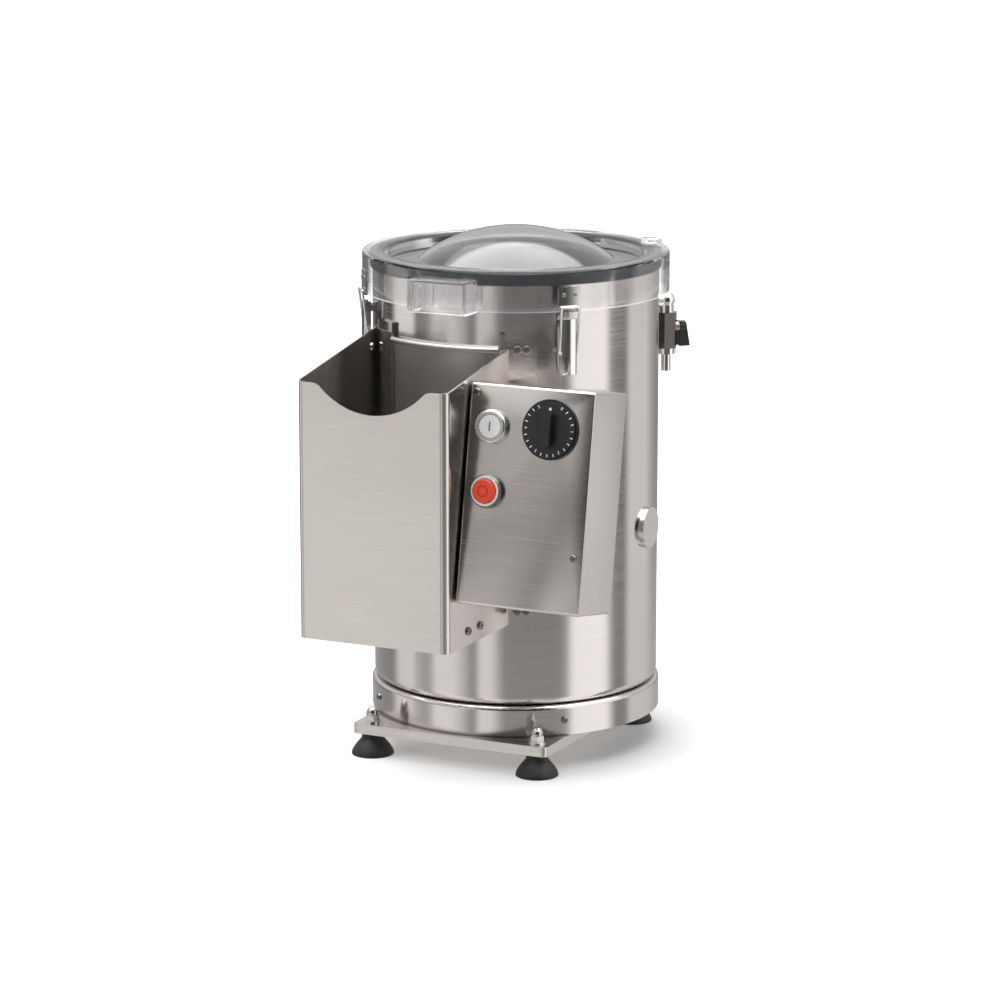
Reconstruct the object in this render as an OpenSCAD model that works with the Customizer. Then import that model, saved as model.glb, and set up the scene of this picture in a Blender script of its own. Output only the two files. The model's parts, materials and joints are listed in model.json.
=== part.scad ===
// Bench-top garlic peeling machine: a steel drum on four rubber feet, with a clear hinged lid,
// a discharge chute with a lift door, a tilted control box and a water inlet valve.
// The drum stands on the Z axis, the chute faces -Y and the bench is at z = 0.

/* [Drum] */
// Outer radius of the drum
drum_r = 145; // [135:1:155]
// Sheet thickness of the drum
drum_t = 2; // [1:0.5:3]
// Radius of the turned-in lower edge of the drum
drum_bend = 8; // [5:1:12]
// Height of the drum from its lower edge to its rim
drum_h = 424; // [410:1:440]
// Width of the joined flanges at the foot of the drum
flange_w = 21; // [13:1:40]

/* [Base] */
// Width of the base plate
plate_w = 216; // [212:1:240]
// Depth of the base plate
plate_d = 262; // [250:1:290]
// Distance of the plate's middle ahead of the drum axis
plate_ahead = 26; // [24:0.5:32]
// Height of the plate's folded edge
plate_h = 10; // [6:1:16]
// Sheet thickness of the base plate
plate_t = 2; // [1.5:0.5:3]
// Corner radius of the base plate
plate_corner = 6; // [3:1:12]
// Overhang of the base ring beyond the drum
ring_over = 2.5; // [1:0.5:7]
// Height of the base ring
ring_h = 31; // [24:1:40]
// Sheet thickness of the base ring
ring_t = 2; // [1.5:0.5:3]
// Radius of the rounded top edge of the base ring
ring_bend = 4; // [3:0.5:8]

/* [Feet] */
// Radius of a rubber foot on the bench
foot_r = 21.5; // [18:0.5:25]
// Radius of a foot's neck
foot_neck_r = 11; // [9:0.5:14]
// Height of a foot
foot_h = 23; // [19:1:32]
// Thickness of the foot's rim on the bench
foot_rim = 4; // [2:0.5:5]
// Radius of the foot studs
stud_r = 4; // [3:0.5:5]
// Distance of the feet from the plate's sides
foot_side = 16; // [13:1:23]
// Distance of the front feet from the plate's front edge
foot_front = 14; // [13:1:22]
// Distance of the rear feet from the plate's rear edge
foot_rear = 17; // [14:1:35]
// Distance across the flats of the cap nuts
nut_flats = 13; // [11:0.5:17]
// Radius of the washers under the cap nuts
washer_r = 8; // [7:0.5:10]
// Thickness of the washers
washer_t = 1.6; // [1:0.2:2.4]

/* [Lid] */
// Overhang of the lid's skirt beyond the drum
lid_over = 10.5; // [8:0.5:14]
// Wall thickness of the lid
lid_t = 3; // [2:0.5:4]
// Height of the lid's skirt
skirt_h = 40; // [34:1:44]
// Width of the flat outer ring of the lid
lid_ring_w = 22.5; // [18:0.5:33]
// Depth of the recess inside that ring
recess_depth = 8; // [5:1:10]
// Width of the recess between the ring and the dome
recess_w = 34; // [20:1:48]
// Height of the dome above the recess
dome_h = 32; // [20:1:40]
// Width of the lid's front grip
grip_w = 63; // [50:1:80]
// Reach of the grip ahead of the skirt
grip_reach = 26.5; // [20:0.5:32]
// Height of the lid's front grip
grip_h = 33; // [26:1:34]
// Thickness of the lid seal
seal_h = 12; // [8:0.5:14]
// Width of the lid seal
seal_w = 7; // [5:0.5:8]
// Height of the raised boss on the lid's ring
boss_h = 5; // [3:0.5:8]

/* [Lid hinge] */
// Distance of the hinge pin behind the lid's skirt
hinge_out = 12.5; // [10.5:0.5:18]
// Drop of the hinge pin below the top of the lid
hinge_drop = 33; // [30:0.5:36]
// Radius of the hinge pin
hinge_pin_r = 3; // [2:0.25:4]
// Outer radius of the hinge knuckles
knuckle_r = 6; // [5:0.25:7.5]
// Length of each of the three knuckles
knuckle_l = 20; // [14:0.5:28]

/* [Latches] */
// Width of a latch lever
lever_w = 15; // [13:0.5:18]
// Length of a latch lever
lever_l = 57; // [50:1:64]
// Depth of a latch lever
lever_d = 8; // [7:0.5:9]
// Radius of the bail's wire
wire_r = 1.25; // [1:0.05:1.6]
// Width of a keeper on the lid
keeper_w = 22; // [20:0.5:26]
// Reach of the keeper's lower lip
keeper_lip = 3; // [2.5:0.25:4]

/* [Chute] */
// Left face of the chute, to the left of the drum axis
chute_left = 107; // [100:1:115]
// Right face of the chute, to the right of the drum axis
chute_right = 56.5; // [54:0.5:60]
// Distance of the chute's front panel ahead of the drum axis
chute_front = 270; // [240:1:300]
// Sheet thickness of the chute
chute_t = 1.5; // [1:0.25:2]
// Height of the chute's open foot above the bench
chute_foot = 148; // [120:1:180]
// Height of the front panel's upper edge above the bench
chute_top = 403; // [385:1:412]
// Rise of the side walls' upper edge for each unit of depth
chute_rise = 0.17; // [0.1:0.01:0.2]
// Radius of the chute's front bends
chute_bend = 8; // [5:0.5:10]
// Angle of the fixing flanges round the drum, in degrees
flange_turn = 11; // [9:0.5:14]
// Width of the scallop in the front panel
scallop_w = 118; // [90:1:125]
// Depth of the scallop in the front panel
scallop_depth = 27; // [18:1:34]
// Radius of the scallop's rounded shoulders
scallop_round = 10; // [4:1:14]

/* [Discharge door] */
// Left end of the door's lip, to the left of the drum axis
door_left = 72; // [60:1:76]
// Right end of the door's lip, to the right of the drum axis
door_right = 47; // [40:0.5:48]
// Height of the door's lower edge above the bench
door_foot = 318; // [312:1:322]
// Height of the door
door_h = 110; // [100:1:114]
// Radius of the rolled lip along the door's top
lip_r = 3; // [2:0.25:4]
// Width of the discharge opening in the drum
opening_w = 80; // [60:1:86]
// Height of the discharge opening in the drum
opening_h = 32; // [24:1:40]
// Thickness of the door guides
guide_t = 4.5; // [4:0.25:6]

/* [Control box] */
// Width of the control box
panel_w = 131; // [126:1:150]
// Height of the front panel along its slope
panel_h = 214; // [200:1:230]
// Depth of the control box
panel_d = 76; // [66:1:80]
// Sheet thickness of the control box
panel_t = 1.5; // [1:0.25:2]
// Backward lean of the panel, in degrees
panel_tilt = 10; // [6:0.5:12]
// Gap between the control box and the chute
panel_gap = 2; // [1:0.5:4]
// Distance of the panel's upper edge ahead of the drum axis
panel_front = 221; // [216:1:230]
// Height of the panel's upper edge above the bench
panel_top = 408; // [395:1:415]
// Distance of the buttons from the panel's left edge
button_u = 26; // [24:0.5:30]
// Distance of the start button below the panel's upper edge
start_v = 41; // [36:1:46]
// Distance of the stop button below the panel's upper edge
stop_v = 103; // [90:1:115]
// Radius of the button bezels
bezel_r = 16.5; // [15:0.5:18]
// Radius of the button caps
cap_r = 11.5; // [10:0.5:13]
// Travel of the button caps
press = 3.5; // [2:0.5:4]
// Distance of the timer dial from the panel's left edge
dial_u = 88; // [84:1:92]
// Distance of the timer dial below the panel's upper edge
dial_v = 39; // [37:1:46]
// Radius of the timer dial
dial_r = 29; // [24:0.5:31]
// Height of the timer dial's skirt
dial_h = 5; // [4:0.5:8]
// Height of the grip bar on the dial
dial_grip_h = 8; // [5:0.5:12]
// Length of the grip bar on the dial
dial_grip_l = 32; // [24:1:40]

/* [Water inlet] */
// Bearing of the inlet round the drum, in degrees
inlet_turn = 45; // [35:1:55]
// Distance of the valve's axis from the drum
valve_out = 19; // [17:0.5:25]
// Height of the inlet above the bench
inlet_z = 442; // [436:1:446]
// Distance across the flats of the valve body
valve_flats = 20; // [17:0.5:23]
// Length of the valve body
valve_l = 37; // [32:1:42]
// Outer radius of the hose tail
tail_r = 5; // [4:0.25:7]
// Length of the hose tail
tail_l = 18; // [14:1:30]
// Length of the valve's lever
valve_lever_l = 26; // [20:1:30]

/* [Drain and plug] */
// Outer radius of the drain spout
drain_r = 20; // [16:0.5:21]
// Height of the drain spout's axis above the bench
drain_z = 292; // [290:1:293]
// Reach of the drain spout behind the drum
drain_l = 40; // [30:1:60]
// Radius of the blanking plug on the drum's side
plug_r = 21; // [16:0.5:26]
// Height of the blanking plug above the bench
plug_z = 228; // [200:1:240]
// Bearing of the blanking plug round the drum, in degrees
plug_turn = 2; // [-10:1:10]
// Radius of the cable gland
gland_r = 9; // [7:0.5:11]
// Bearing of the cable gland round the drum, in degrees
gland_turn = 118; // [105:1:130]
// Height of the cable gland above the bench
gland_z = 100; // [90:1:140]

/* [Drive] */
// Height of the chamber floor's top above the bench
floor_z = 270; // [266:1:271]
// Height of the peeling disc's top above the bench
disc_z = 322; // [320:1:325]
// Gap between the peeling disc and the drum
disc_gap = 5; // [3:0.5:18]
// Thickness of the peeling disc
disc_t = 6; // [4:0.5:7]
// Number of ridges on the disc
ridge_count = 8; // [4:1:10]
// Radius of each rounded ridge
ridge_r = 6; // [4:0.5:8]
// Radius of the main shaft
shaft_r = 8.5; // [7:0.25:9.5]
// Outer radius of the shaft bearings
bearing_r = 17.5; // [16:0.5:19]
// Height of each bearing
bearing_h = 10; // [8:0.5:12]
// Length of the bearing housing
housing_l = 78; // [60:1:90]
// Gap between the two pulleys
pulley_gap = 6; // [4:0.5:14]
// Outer radius of the motor pulley
small_pulley_r = 16; // [14:0.5:17]
// Height of both pulleys
pulley_h = 18; // [14:1:20]
// Height of the pulleys' lower faces above the bench
pulley_z = 118; // [100:1:125]
// Depth of the belt groove
groove = 7.5; // [6:0.25:8]
// Gap between the motor and the bearing housing
motor_gap = 4; // [3:0.5:8]
// Gap between the motor's plate and the drum
motor_wall = 7; // [4:0.5:12]
// Length of the motor
motor_l = 92; // [80:1:100]
// Radius of the motor shaft
motor_shaft_r = 7; // [5:0.25:8]

/* [Clearances] */
// Clearance of a shaft in its hole
run = 0.05; // [0.02:0.01:0.1]
// Clearance between faces that slide past each other
slide = 0.4; // [0.3:0.05:0.6]

/* [Hidden] */
$fn = 96;

steel = [0.78, 0.77, 0.75];
bright = [0.86, 0.86, 0.86];
clear = [0.80, 0.85, 0.87, 0.4];
black = [0.08, 0.08, 0.08];
grey = [0.45, 0.46, 0.48];

plate_top = foot_h + plate_h;
plate_front = plate_d / 2 + plate_ahead;
ring_top = plate_top + ring_h;
drum_top = ring_top + drum_h;
drum_in = drum_r - drum_t;
flange_in = drum_r - flange_w;
ring_r = drum_r + ring_over;
foot_x = plate_w / 2 - foot_side;
feet = [for (x = [-foot_x, foot_x]) for (y = [foot_front, plate_d - foot_rear]) [x, y - plate_front]];
screw_z = plate_top + ring_h / 2;
screw_turns = [45, 135, 225, 315];
screw_r = 3.6;
screw_h = 2.2;

lid_r = drum_r + lid_over;
lid_ring_in = lid_r - lid_ring_w;
dome_r = lid_ring_in - recess_w;
lid_top = drum_top + seal_h + lid_t;
skirt_foot = lid_top - skirt_h;
skirt_in = lid_r - lid_t;
recess_z = lid_top - recess_depth;
dome_ball = (dome_r * dome_r + dome_h * dome_h) / (2 * dome_h);
hinge_y = lid_r + hinge_out;
hinge_z = lid_top - hinge_drop;
knuckle_gap = 0.5;
boss_turn = 43;

left_turn = -180 + acos((chute_left - chute_t / 2) / drum_r);
right_turn = -acos((chute_right - chute_t / 2) / drum_r);
latch_turns = [-45, left_turn - 3.9];
lever_top = skirt_foot - 5;
lever_foot = lever_top - lever_l;
lever_back = drum_r + 6;
lever_wall = 1.5;
lever_round = 18;
pivot_r = lever_back + 3;
pivot_z = lever_top - 6;
pivot_pin_r = 1.5;
pivot_ear_r = pivot_pin_r + 0.7;
base_w = lever_w - 2 * lever_wall;
ear_t = 2;
bail_r = lid_r + keeper_lip + wire_r + slide;
bail_pivot_r = pivot_r + 0.5;
bail_pivot_z = pivot_z - 30;
bail_top = skirt_foot + 5;
bail_x = lever_w / 2 + wire_r + slide;
wire_bend = wire_r + 0.25;
keeper_t = 2;
keeper_h = 24;

left_flange_top = lever_foot - 4;
chute_screw_in = 14;
chute_screw_rise = 22;
chute_screw_y = [45, 71];
scallop_x = (chute_right - chute_left) / 2;
scallop_ball = (scallop_w * scallop_w / 4 + scallop_depth * scallop_depth) / (2 * scallop_depth);

door_t = 1.5;
door_top = door_foot + door_h;
door_in = drum_r + slide;
guide_lap = 1;
guide_gap = 0.4;
lip_from = -180 + acos(door_left / door_in);
lip_to = -acos(door_right / door_in);
door_from = lip_from - guide_lap - guide_gap;
door_to = lip_to + guide_lap + guide_gap;
guide_foot = door_foot - 4;
guide_over = 13;
guide_top = door_top + guide_over;
guide_left_end = left_turn + 5;
guide_right_end = right_turn - 1.3;
opening_x = (door_right - door_left - opening_w) / 2;
opening_z = door_foot + 6;

panel_x = chute_right + panel_gap;
bracket_t = 2;
neck_gap = 27;
neck_w = 46;
neck_h = 147;
neck_drop = 28;
wire_drop = 100;
neck_left = chute_right + neck_gap;
neck_high = panel_top - neck_drop;
neck_low = neck_high - neck_h;
wire_turn = -acos((neck_left + neck_w / 2) / drum_r);
wire_z = panel_top - wire_drop;
barrel_r = 11;
stem_r = 8;
bezel_h = press + 3.5;
collar_t = 3;
collar_z = -panel_t - collar_t;
dial_lift = 1;
dial_shaft_r = 3;
timer_size = 46;
timer_depth = 26;

plug_neck_r = plug_r - 4;
gland_neck_r = gland_r - 3;
pipe_r = 7;
pipe_bore = pipe_r - 3;
elbow_drop = 12;
valve_r = drum_r + valve_out;
valve_top = inlet_z - elbow_drop;
valve_foot = valve_top - valve_l;
ball_r = 6.5;
stem_z = valve_top - valve_l * 0.43;
collar_h = 6;
gland_l = 3;
stem_pin_r = 3;
stem_l = valve_flats / 2 + gland_l + slide + 4;

housing_top = floor_z - drum_t;
housing_r = bearing_r + 6.5;
housing_flange_r = 42;
housing_flange_t = 4;
collar_r = 14;
hub_drop = 4;
disc_r = drum_in - disc_gap;
motor_rim = 4;
motor_r = (drum_in - motor_wall - motor_rim - motor_gap - housing_r) / 2;
motor_y = housing_r + motor_gap + motor_r;
pulley_r = motor_y - small_pulley_r - pulley_gap;
belt_h = 7;
belt_t = 5;
belt_seat = 0.4;
motor_bore = 10;
capacitor_r = 17.5;
capacitor_at = [-70, -60];
capacitor_l = 62;

module sector(from, to, reach) {
  steps = 4;
  turns = [for (i = [0:steps]) from + (to - from) * i / steps];
  polygon(concat([[0, 0]], [for (a = turns) [cos(a), sin(a)] * reach]));
}

module band(r_in, r_out, from, to) {
  intersection() {
    difference() {
      circle(r_out);
      circle(r_in);
    }
    sector(from, to, r_out * 1.5);
  }
}

module rounded(size, r) {
  for (x = [r, size[0] - r])
    for (y = [r, size[1] - r])
      translate([x, y]) circle(r);
  translate([r, 0]) square([size[0] - 2 * r, size[1]]);
  translate([0, r]) square([size[0], size[1] - 2 * r]);
}

// Quarter of a sheet bend: its outer radius, its sheet thickness and the way that it faces
module bend(r, t, way) {
  intersection() {
    difference() {
      circle(r);
      circle(r - t);
    }
    mirror([0, way == "down" ? 1 : 0]) square(r);
  }
}

// Turns local +X to a bearing round the drum
module bearing_at(turn, z) {
  rotate([0, 0, turn]) translate([0, 0, z]) children();
}

// Puts local X along the panel, local Y up its slope and local Z out of its face
module on_panel(u, v) {
  translate([panel_x, -panel_front, panel_top])
    rotate([90 - panel_tilt, 0, 0]) translate([u, -v, 0]) children();
}

// Base, feet and drum
module base_plate() {
  inner = [plate_w - 2 * plate_t, plate_d - 2 * plate_t];
  color(steel)
    difference() {
      translate([-plate_w / 2, -plate_front, foot_h])
        difference() {
          linear_extrude(plate_h) rounded([plate_w, plate_d], plate_corner);
          translate([plate_t, plate_t, -plate_t])
            linear_extrude(plate_h) rounded(inner, plate_corner - plate_t);
        }
      for (p = feet) translate([p[0], p[1], foot_h]) cylinder(r = stud_r + run, h = 2 * plate_h);
    }
}

module foot() {
  flare = foot_r - foot_neck_r;
  rotate_extrude()
    difference() {
      union() {
        square([foot_r, foot_rim + flare]);
        square([foot_neck_r, foot_h + plate_h - plate_t]);
      }
      translate([foot_r, foot_rim + flare]) circle(flare);
      translate([0, foot_rim]) square([stud_r + run, foot_h + plate_h]);
    }
}

module rubber_feet() {
  color(black) for (p = feet) translate([p[0], p[1], 0]) foot();
}

module foot_studs() {
  stud_l = plate_top + washer_t + nut_flats / 2 - foot_rim;
  color(bright) for (p = feet) translate([p[0], p[1], foot_rim]) cylinder(r = stud_r, h = stud_l);
}

module foot_washers() {
  color(bright)
    for (p = feet)
      translate([p[0], p[1], plate_top])
        difference() {
          cylinder(r = washer_r, h = washer_t);
          translate([0, 0, -1]) cylinder(r = stud_r + run, h = washer_t + 2);
        }
}

module cap_nuts() {
  nut_h = nut_flats / 2;
  dome = nut_flats / 2 - 0.4;
  neck = 2;
  color(bright)
    for (p = feet)
      translate([p[0], p[1], plate_top + washer_t])
        difference() {
          union() {
            cylinder(r = nut_flats / sqrt(3), h = nut_h, $fn = 6);
            translate([0, 0, nut_h]) cylinder(r = dome, h = neck);
            translate([0, 0, nut_h + neck]) rotate([90, 0, 0]) sphere(dome);
          }
          translate([0, 0, -1]) cylinder(r = stud_r + run, h = nut_h + neck);
        }
}

module base_ring() {
  color(steel)
    rotate_extrude() {
      translate([ring_r - ring_t, plate_top]) square([ring_t, ring_h - ring_bend]);
      translate([ring_r - ring_bend, ring_top - ring_bend]) bend(ring_bend, ring_t, "up");
      translate([flange_in, ring_top - ring_t]) square([ring_r - ring_bend - flange_in, ring_t]);
    }
}

// Round screw head on the outside of a round wall, at local +X
module wall_screw(wall_r) {
  difference() {
    translate([wall_r - 1, 0, 0]) rotate([0, 90, 0]) cylinder(r = screw_r, h = screw_h + 1);
    translate([0, 0, -screw_r - 1]) cylinder(r = wall_r, h = 2 * screw_r + 2, $fn = 360);
  }
}

module base_ring_screws() {
  color(grey) for (a = screw_turns) bearing_at(a, screw_z) wall_screw(ring_r);
}

// Round hole through the drum's wall
module wall_hole(turn, z, r) {
  reach = 10;
  bearing_at(turn, z)
    translate([drum_in - reach, 0, 0]) rotate([0, 90, 0]) cylinder(r = r + run, h = 2 * reach);
}

module drum_shell() {
  color(steel)
    difference() {
      rotate_extrude() {
        translate([drum_in, ring_top + drum_bend]) square([drum_t, drum_h - drum_bend]);
        translate([drum_r - drum_bend, ring_top + drum_bend]) bend(drum_bend, drum_t, "down");
        translate([flange_in, ring_top]) square([drum_r - drum_bend - flange_in, drum_t]);
      }
      translate([opening_x, -drum_r - 1, opening_z]) cube([opening_w, drum_r / 5, opening_h]);
      wall_hole(inlet_turn, inlet_z, pipe_r);
      wall_hole(plug_turn, plug_z, plug_neck_r);
      wall_hole(90, drain_z, drain_r);
      wall_hole(gland_turn, gland_z, gland_neck_r);
      wall_hole(wire_turn, wire_z, barrel_r);
    }
}

module chamber_floor() {
  rim_r = drum_in - run;
  rim_h = 12;
  color(steel)
    rotate_extrude() {
      translate([bearing_r + run, floor_z - drum_t]) square([rim_r - bearing_r - run, drum_t]);
      translate([rim_r - drum_t, floor_z - rim_h]) square([drum_t, rim_h]);
    }
}

module drain_spout() {
  wall = 2;
  bead = 1;
  lip = 6;
  tall = 2 * (drain_r + lip + 2);
  color(steel)
    bearing_at(90, drain_z)
      difference() {
        union() {
          translate([drum_in - 4, 0, 0]) rotate([0, 90, 0]) cylinder(r = drain_r, h = drain_l + drum_t + 4);
          difference() {
            translate([drum_r - lip, 0, 0]) rotate([0, 90, 0]) cylinder(r = drain_r + lip, h = lip + 2);
            translate([0, 0, -tall / 2]) cylinder(r = drum_r, h = tall);
          }
        }
        translate([drum_in - 5, 0, 0]) rotate([0, 90, 0]) cylinder(r = drain_r - wall, h = drain_l + 10);
        translate([0, 0, -tall / 2]) cylinder(r = drum_in - bead, h = tall);
      }
}

module side_plug() {
  cap_h = 4;
  color(steel)
    bearing_at(plug_turn, plug_z) {
      difference() {
        translate([drum_r - 5, 0, 0]) rotate([0, 90, 0]) cylinder(r = plug_r, h = cap_h + 5);
        translate([0, 0, -plug_r - 1]) cylinder(r = drum_r, h = 2 * plug_r + 2);
      }
      translate([drum_in - 6, 0, 0]) rotate([0, 90, 0]) cylinder(r = plug_neck_r, h = drum_t + 8);
    }
}

module cable_gland() {
  lead_r = 4;
  neck_in = 8;
  hex_h = 6;
  tip_h = 10;
  lip = 2;
  tall = 2 * (gland_r + 2 * lip);
  color(black)
    bearing_at(gland_turn, gland_z)
      difference() {
        union() {
          translate([drum_in - neck_in, 0, 0])
            rotate([0, 90, 0]) cylinder(r = gland_neck_r, h = neck_in + drum_t + hex_h);
          difference() {
            translate([drum_r - hex_h / 2, 0, 0])
              rotate([0, 90, 0]) cylinder(r = gland_r + lip, h = 1.5 * hex_h, $fn = 6);
            translate([0, 0, -tall / 2]) cylinder(r = drum_r, h = tall);
          }
          translate([drum_r + hex_h, 0, 0])
            rotate([0, 90, 0]) cylinder(r1 = gland_r, r2 = lead_r + lip, h = tip_h);
        }
        translate([drum_in - 2 * neck_in, 0, 0])
          rotate([0, 90, 0]) cylinder(r = lead_r, h = 2 * neck_in + drum_t + 2 * (hex_h + tip_h));
      }
}

// Chute and discharge door
// Corner that is cut away where the scallop meets the panel's upper edge
module scallop_shoulder(side) {
  centre_z = chute_top - scallop_depth + scallop_ball;
  low = chute_top - scallop_round;
  reach = sqrt((scallop_ball + scallop_round) ^ 2 - (centre_z - low) ^ 2);
  touch = scallop_ball / (scallop_ball + scallop_round);
  difference() {
    polygon([
      [side * reach, chute_top], [side * reach, chute_top + 1], [0, chute_top + 1],
      [side * reach * touch, centre_z + (low - centre_z) * touch], [side * reach, low]
    ]);
    translate([side * reach, low]) circle(scallop_round);
  }
}

module scallop() {
  translate([scallop_x, 0]) {
    translate([0, chute_top - scallop_depth + scallop_ball]) circle(scallop_ball);
    for (side = [-1, 1]) scallop_shoulder(side);
  }
}

module chute() {
  w = chute_left + chute_right;
  tall = drum_top - chute_foot;
  inner = [w - 2 * chute_t, chute_front];
  color(steel) {
    translate([0, 0, chute_foot])
      linear_extrude(left_flange_top - chute_foot)
        band(drum_r, drum_r + chute_t, left_turn - flange_turn, left_turn);
    difference() {
      translate([0, 0, chute_foot])
        linear_extrude(tall) {
          difference() {
            translate([-chute_left, -chute_front]) rounded([w, chute_front * 0.8], chute_bend);
            translate([chute_t - chute_left, chute_t - chute_front]) rounded(inner, chute_bend - chute_t);
            circle(drum_r);
          }
          band(drum_r, drum_r + chute_t, right_turn, right_turn + flange_turn);
        }
      translate([-2 * chute_left, 0, 0])
        rotate([90, 0, 90])
          linear_extrude(2 * w)
            polygon([
              [-chute_front - 1, chute_top - chute_rise], [0, chute_top + chute_rise * chute_front],
              [0, 2 * drum_top], [-chute_front - 1, 2 * drum_top]
            ]);
      translate([0, -chute_front + chute_bend, 0])
        rotate([90, 0, 0]) linear_extrude(2 * chute_bend) scallop();
    }
  }
}

// Fixing screws of the two flanges, and two more near the foot of the right wall
module chute_screws() {
  wall = drum_r + chute_t;
  low = chute_foot + chute_screw_in;
  color(bright) {
    for (turn = [left_turn - 7.5, left_turn - 4])
      for (z = [low, left_flange_top - chute_screw_in]) bearing_at(turn, z) wall_screw(wall);
    for (turn = [right_turn + 3.5, right_turn + 7])
      for (z = [low, chute_top + chute_screw_rise]) bearing_at(turn, z) wall_screw(wall);
    for (y = chute_screw_y)
      translate([chute_right, y - chute_front, low])
        rotate([0, 90, 0]) cylinder(r = screw_r, h = screw_h);
  }
}

module guide(from, to, rebate_from, rebate_to) {
  translate([0, 0, guide_foot])
    linear_extrude(door_foot - guide_foot - guide_gap) band(drum_r, drum_r + guide_t, from, to);
  translate([0, 0, door_foot - guide_gap])
    linear_extrude(guide_top - door_foot + guide_gap)
      difference() {
        band(drum_r, drum_r + guide_t, from, to);
        band(drum_r - 1, door_in + door_t + slide, rebate_from, rebate_to);
      }
}

module door_guides() {
  color(bright) {
    guide(guide_left_end, door_from + guide_lap, door_from - guide_gap, door_from + 2 * guide_lap);
    guide(door_to - guide_lap, guide_right_end, door_to - 2 * guide_lap, door_to + guide_gap);
  }
}

// Curved door that slides on the drum, with a rolled lip along its top
module discharge_door() {
  roll_r = door_in + door_t / 2 + lip_r;
  color(steel) {
    translate([0, 0, door_foot])
      linear_extrude(door_h - lip_r / 2) band(door_in, door_in + door_t, door_from, door_to);
    bearing_at(lip_from, door_top - lip_r)
      rotate_extrude(angle = lip_to - lip_from) translate([roll_r, 0]) circle(lip_r);
  }
}

// Control box
module control_box() {
  color(steel)
    on_panel(0, panel_h)
      difference() {
        translate([0, 0, -panel_d]) cube([panel_w, panel_h, panel_d]);
        translate([panel_t, panel_t, -panel_d - 1])
          cube([panel_w - 2 * panel_t, panel_h - 2 * panel_t, panel_d - panel_t + 1]);
        for (v = [start_v, stop_v])
          translate([button_u, panel_h - v, -2 * panel_t]) cylinder(r = barrel_r + run, h = 3 * panel_t);
        translate([dial_u, panel_h - dial_v, -2 * panel_t]) cylinder(r = dial_shaft_r + 1, h = 3 * panel_t);
      }
}

// Back plate of the control box, with the hollow neck that carries it on the drum
module control_bracket() {
  inset = panel_t + run;
  neck_deep = panel_front;
  color(steel) {
    on_panel(0, panel_h)
      translate([inset, inset, -panel_d])
        difference() {
          cube([panel_w - 2 * inset, panel_h - 2 * inset, bracket_t]);
          translate([neck_left - panel_x + neck_w / 2 - inset, panel_h - wire_drop, -1])
            cylinder(r = barrel_r, h = bracket_t + 2);
        }
    difference() {
      translate([neck_left, -neck_deep, neck_low]) cube([neck_w, neck_deep, neck_high - neck_low]);
      translate([neck_left + bracket_t, -neck_deep - 1, neck_low + bracket_t])
        cube([neck_w - 2 * bracket_t, neck_deep + 2, neck_high - neck_low - 2 * bracket_t]);
      cylinder(r = drum_r, h = 2 * drum_top);
      on_panel(-panel_w, 2 * panel_h)
        translate([0, 0, bracket_t / 2 - panel_d]) cube([3 * panel_w, 3 * panel_h, 2 * panel_d]);
    }
  }
}

module panel_screws() {
  spots = [[7, 9], [panel_w - 10, panel_h - 55]];
  color(grey) for (p = spots) on_panel(p[0], p[1]) cylinder(r = screw_r, h = screw_h);
}

// Round bezel with a sloped shoulder
module bezel(rim_in) {
  rotate_extrude()
    difference() {
      union() {
        square([bezel_r, bezel_h * 0.6]);
        square([bezel_r - bezel_h * 0.4, bezel_h]);
        translate([bezel_r - bezel_h * 0.4, bezel_h * 0.6]) circle(bezel_h * 0.4);
      }
      translate([0, -1]) square([rim_in, bezel_h + 2]);
    }
}

module start_bezel() {
  color(bright) on_panel(button_u, start_v) bezel(cap_r + slide);
}

module stop_bezel() {
  color(grey) on_panel(button_u, stop_v) bezel(cap_r + slide);
}

module button_bodies() {
  block = 28;
  block_h = 24;
  color(black)
    for (v = [start_v, stop_v])
      on_panel(button_u, v)
        difference() {
          union() {
            translate([0, 0, collar_z - 6]) cylinder(r = barrel_r, h = -collar_z + 6);
            translate([0, 0, collar_z]) cylinder(r = barrel_r + 3, h = collar_t);
            translate([-block / 2, -block / 2, collar_z - 6 - block_h]) cube([block, block, block_h]);
          }
          translate([0, 0, collar_z - 6 - press]) cylinder(r = stem_r + run, h = 20 + press);
        }
}

// Push cap with its stem, which stands proud of the bezel by the given height
module cap(proud) {
  low = press + 0.2;
  top = bezel_h + proud;
  soft = 1;
  rotate_extrude()
    union() {
      translate([0, low]) square([cap_r, top - soft - low]);
      translate([0, low]) square([cap_r - soft, top - low]);
      translate([cap_r - soft, top - soft]) circle(soft);
      translate([0, collar_z - 5]) square([stem_r, press + 6 - collar_z]);
    }
}

module start_cap() {
  color([0.93, 0.93, 0.90]) on_panel(button_u, start_v) cap(0);
}

module stop_cap() {
  color([0.80, 0.08, 0.10]) on_panel(button_u, stop_v) cap(5);
}

module timer_body() {
  color(grey)
    on_panel(dial_u, dial_v)
      difference() {
        translate([-timer_size / 2, -timer_size / 2 - 4, -panel_t - timer_depth])
          cube([timer_size, timer_size, timer_depth]);
        translate([0, 0, -panel_t - timer_depth / 2]) cylinder(r = dial_shaft_r + run, h = timer_depth);
      }
}

module timer_shaft() {
  low = -panel_t - timer_depth / 2 + 1;
  high = dial_lift + dial_h / 2 - run;
  color(bright) on_panel(dial_u, dial_v) translate([0, 0, low]) cylinder(r = dial_shaft_r, h = high - low);
}

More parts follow.
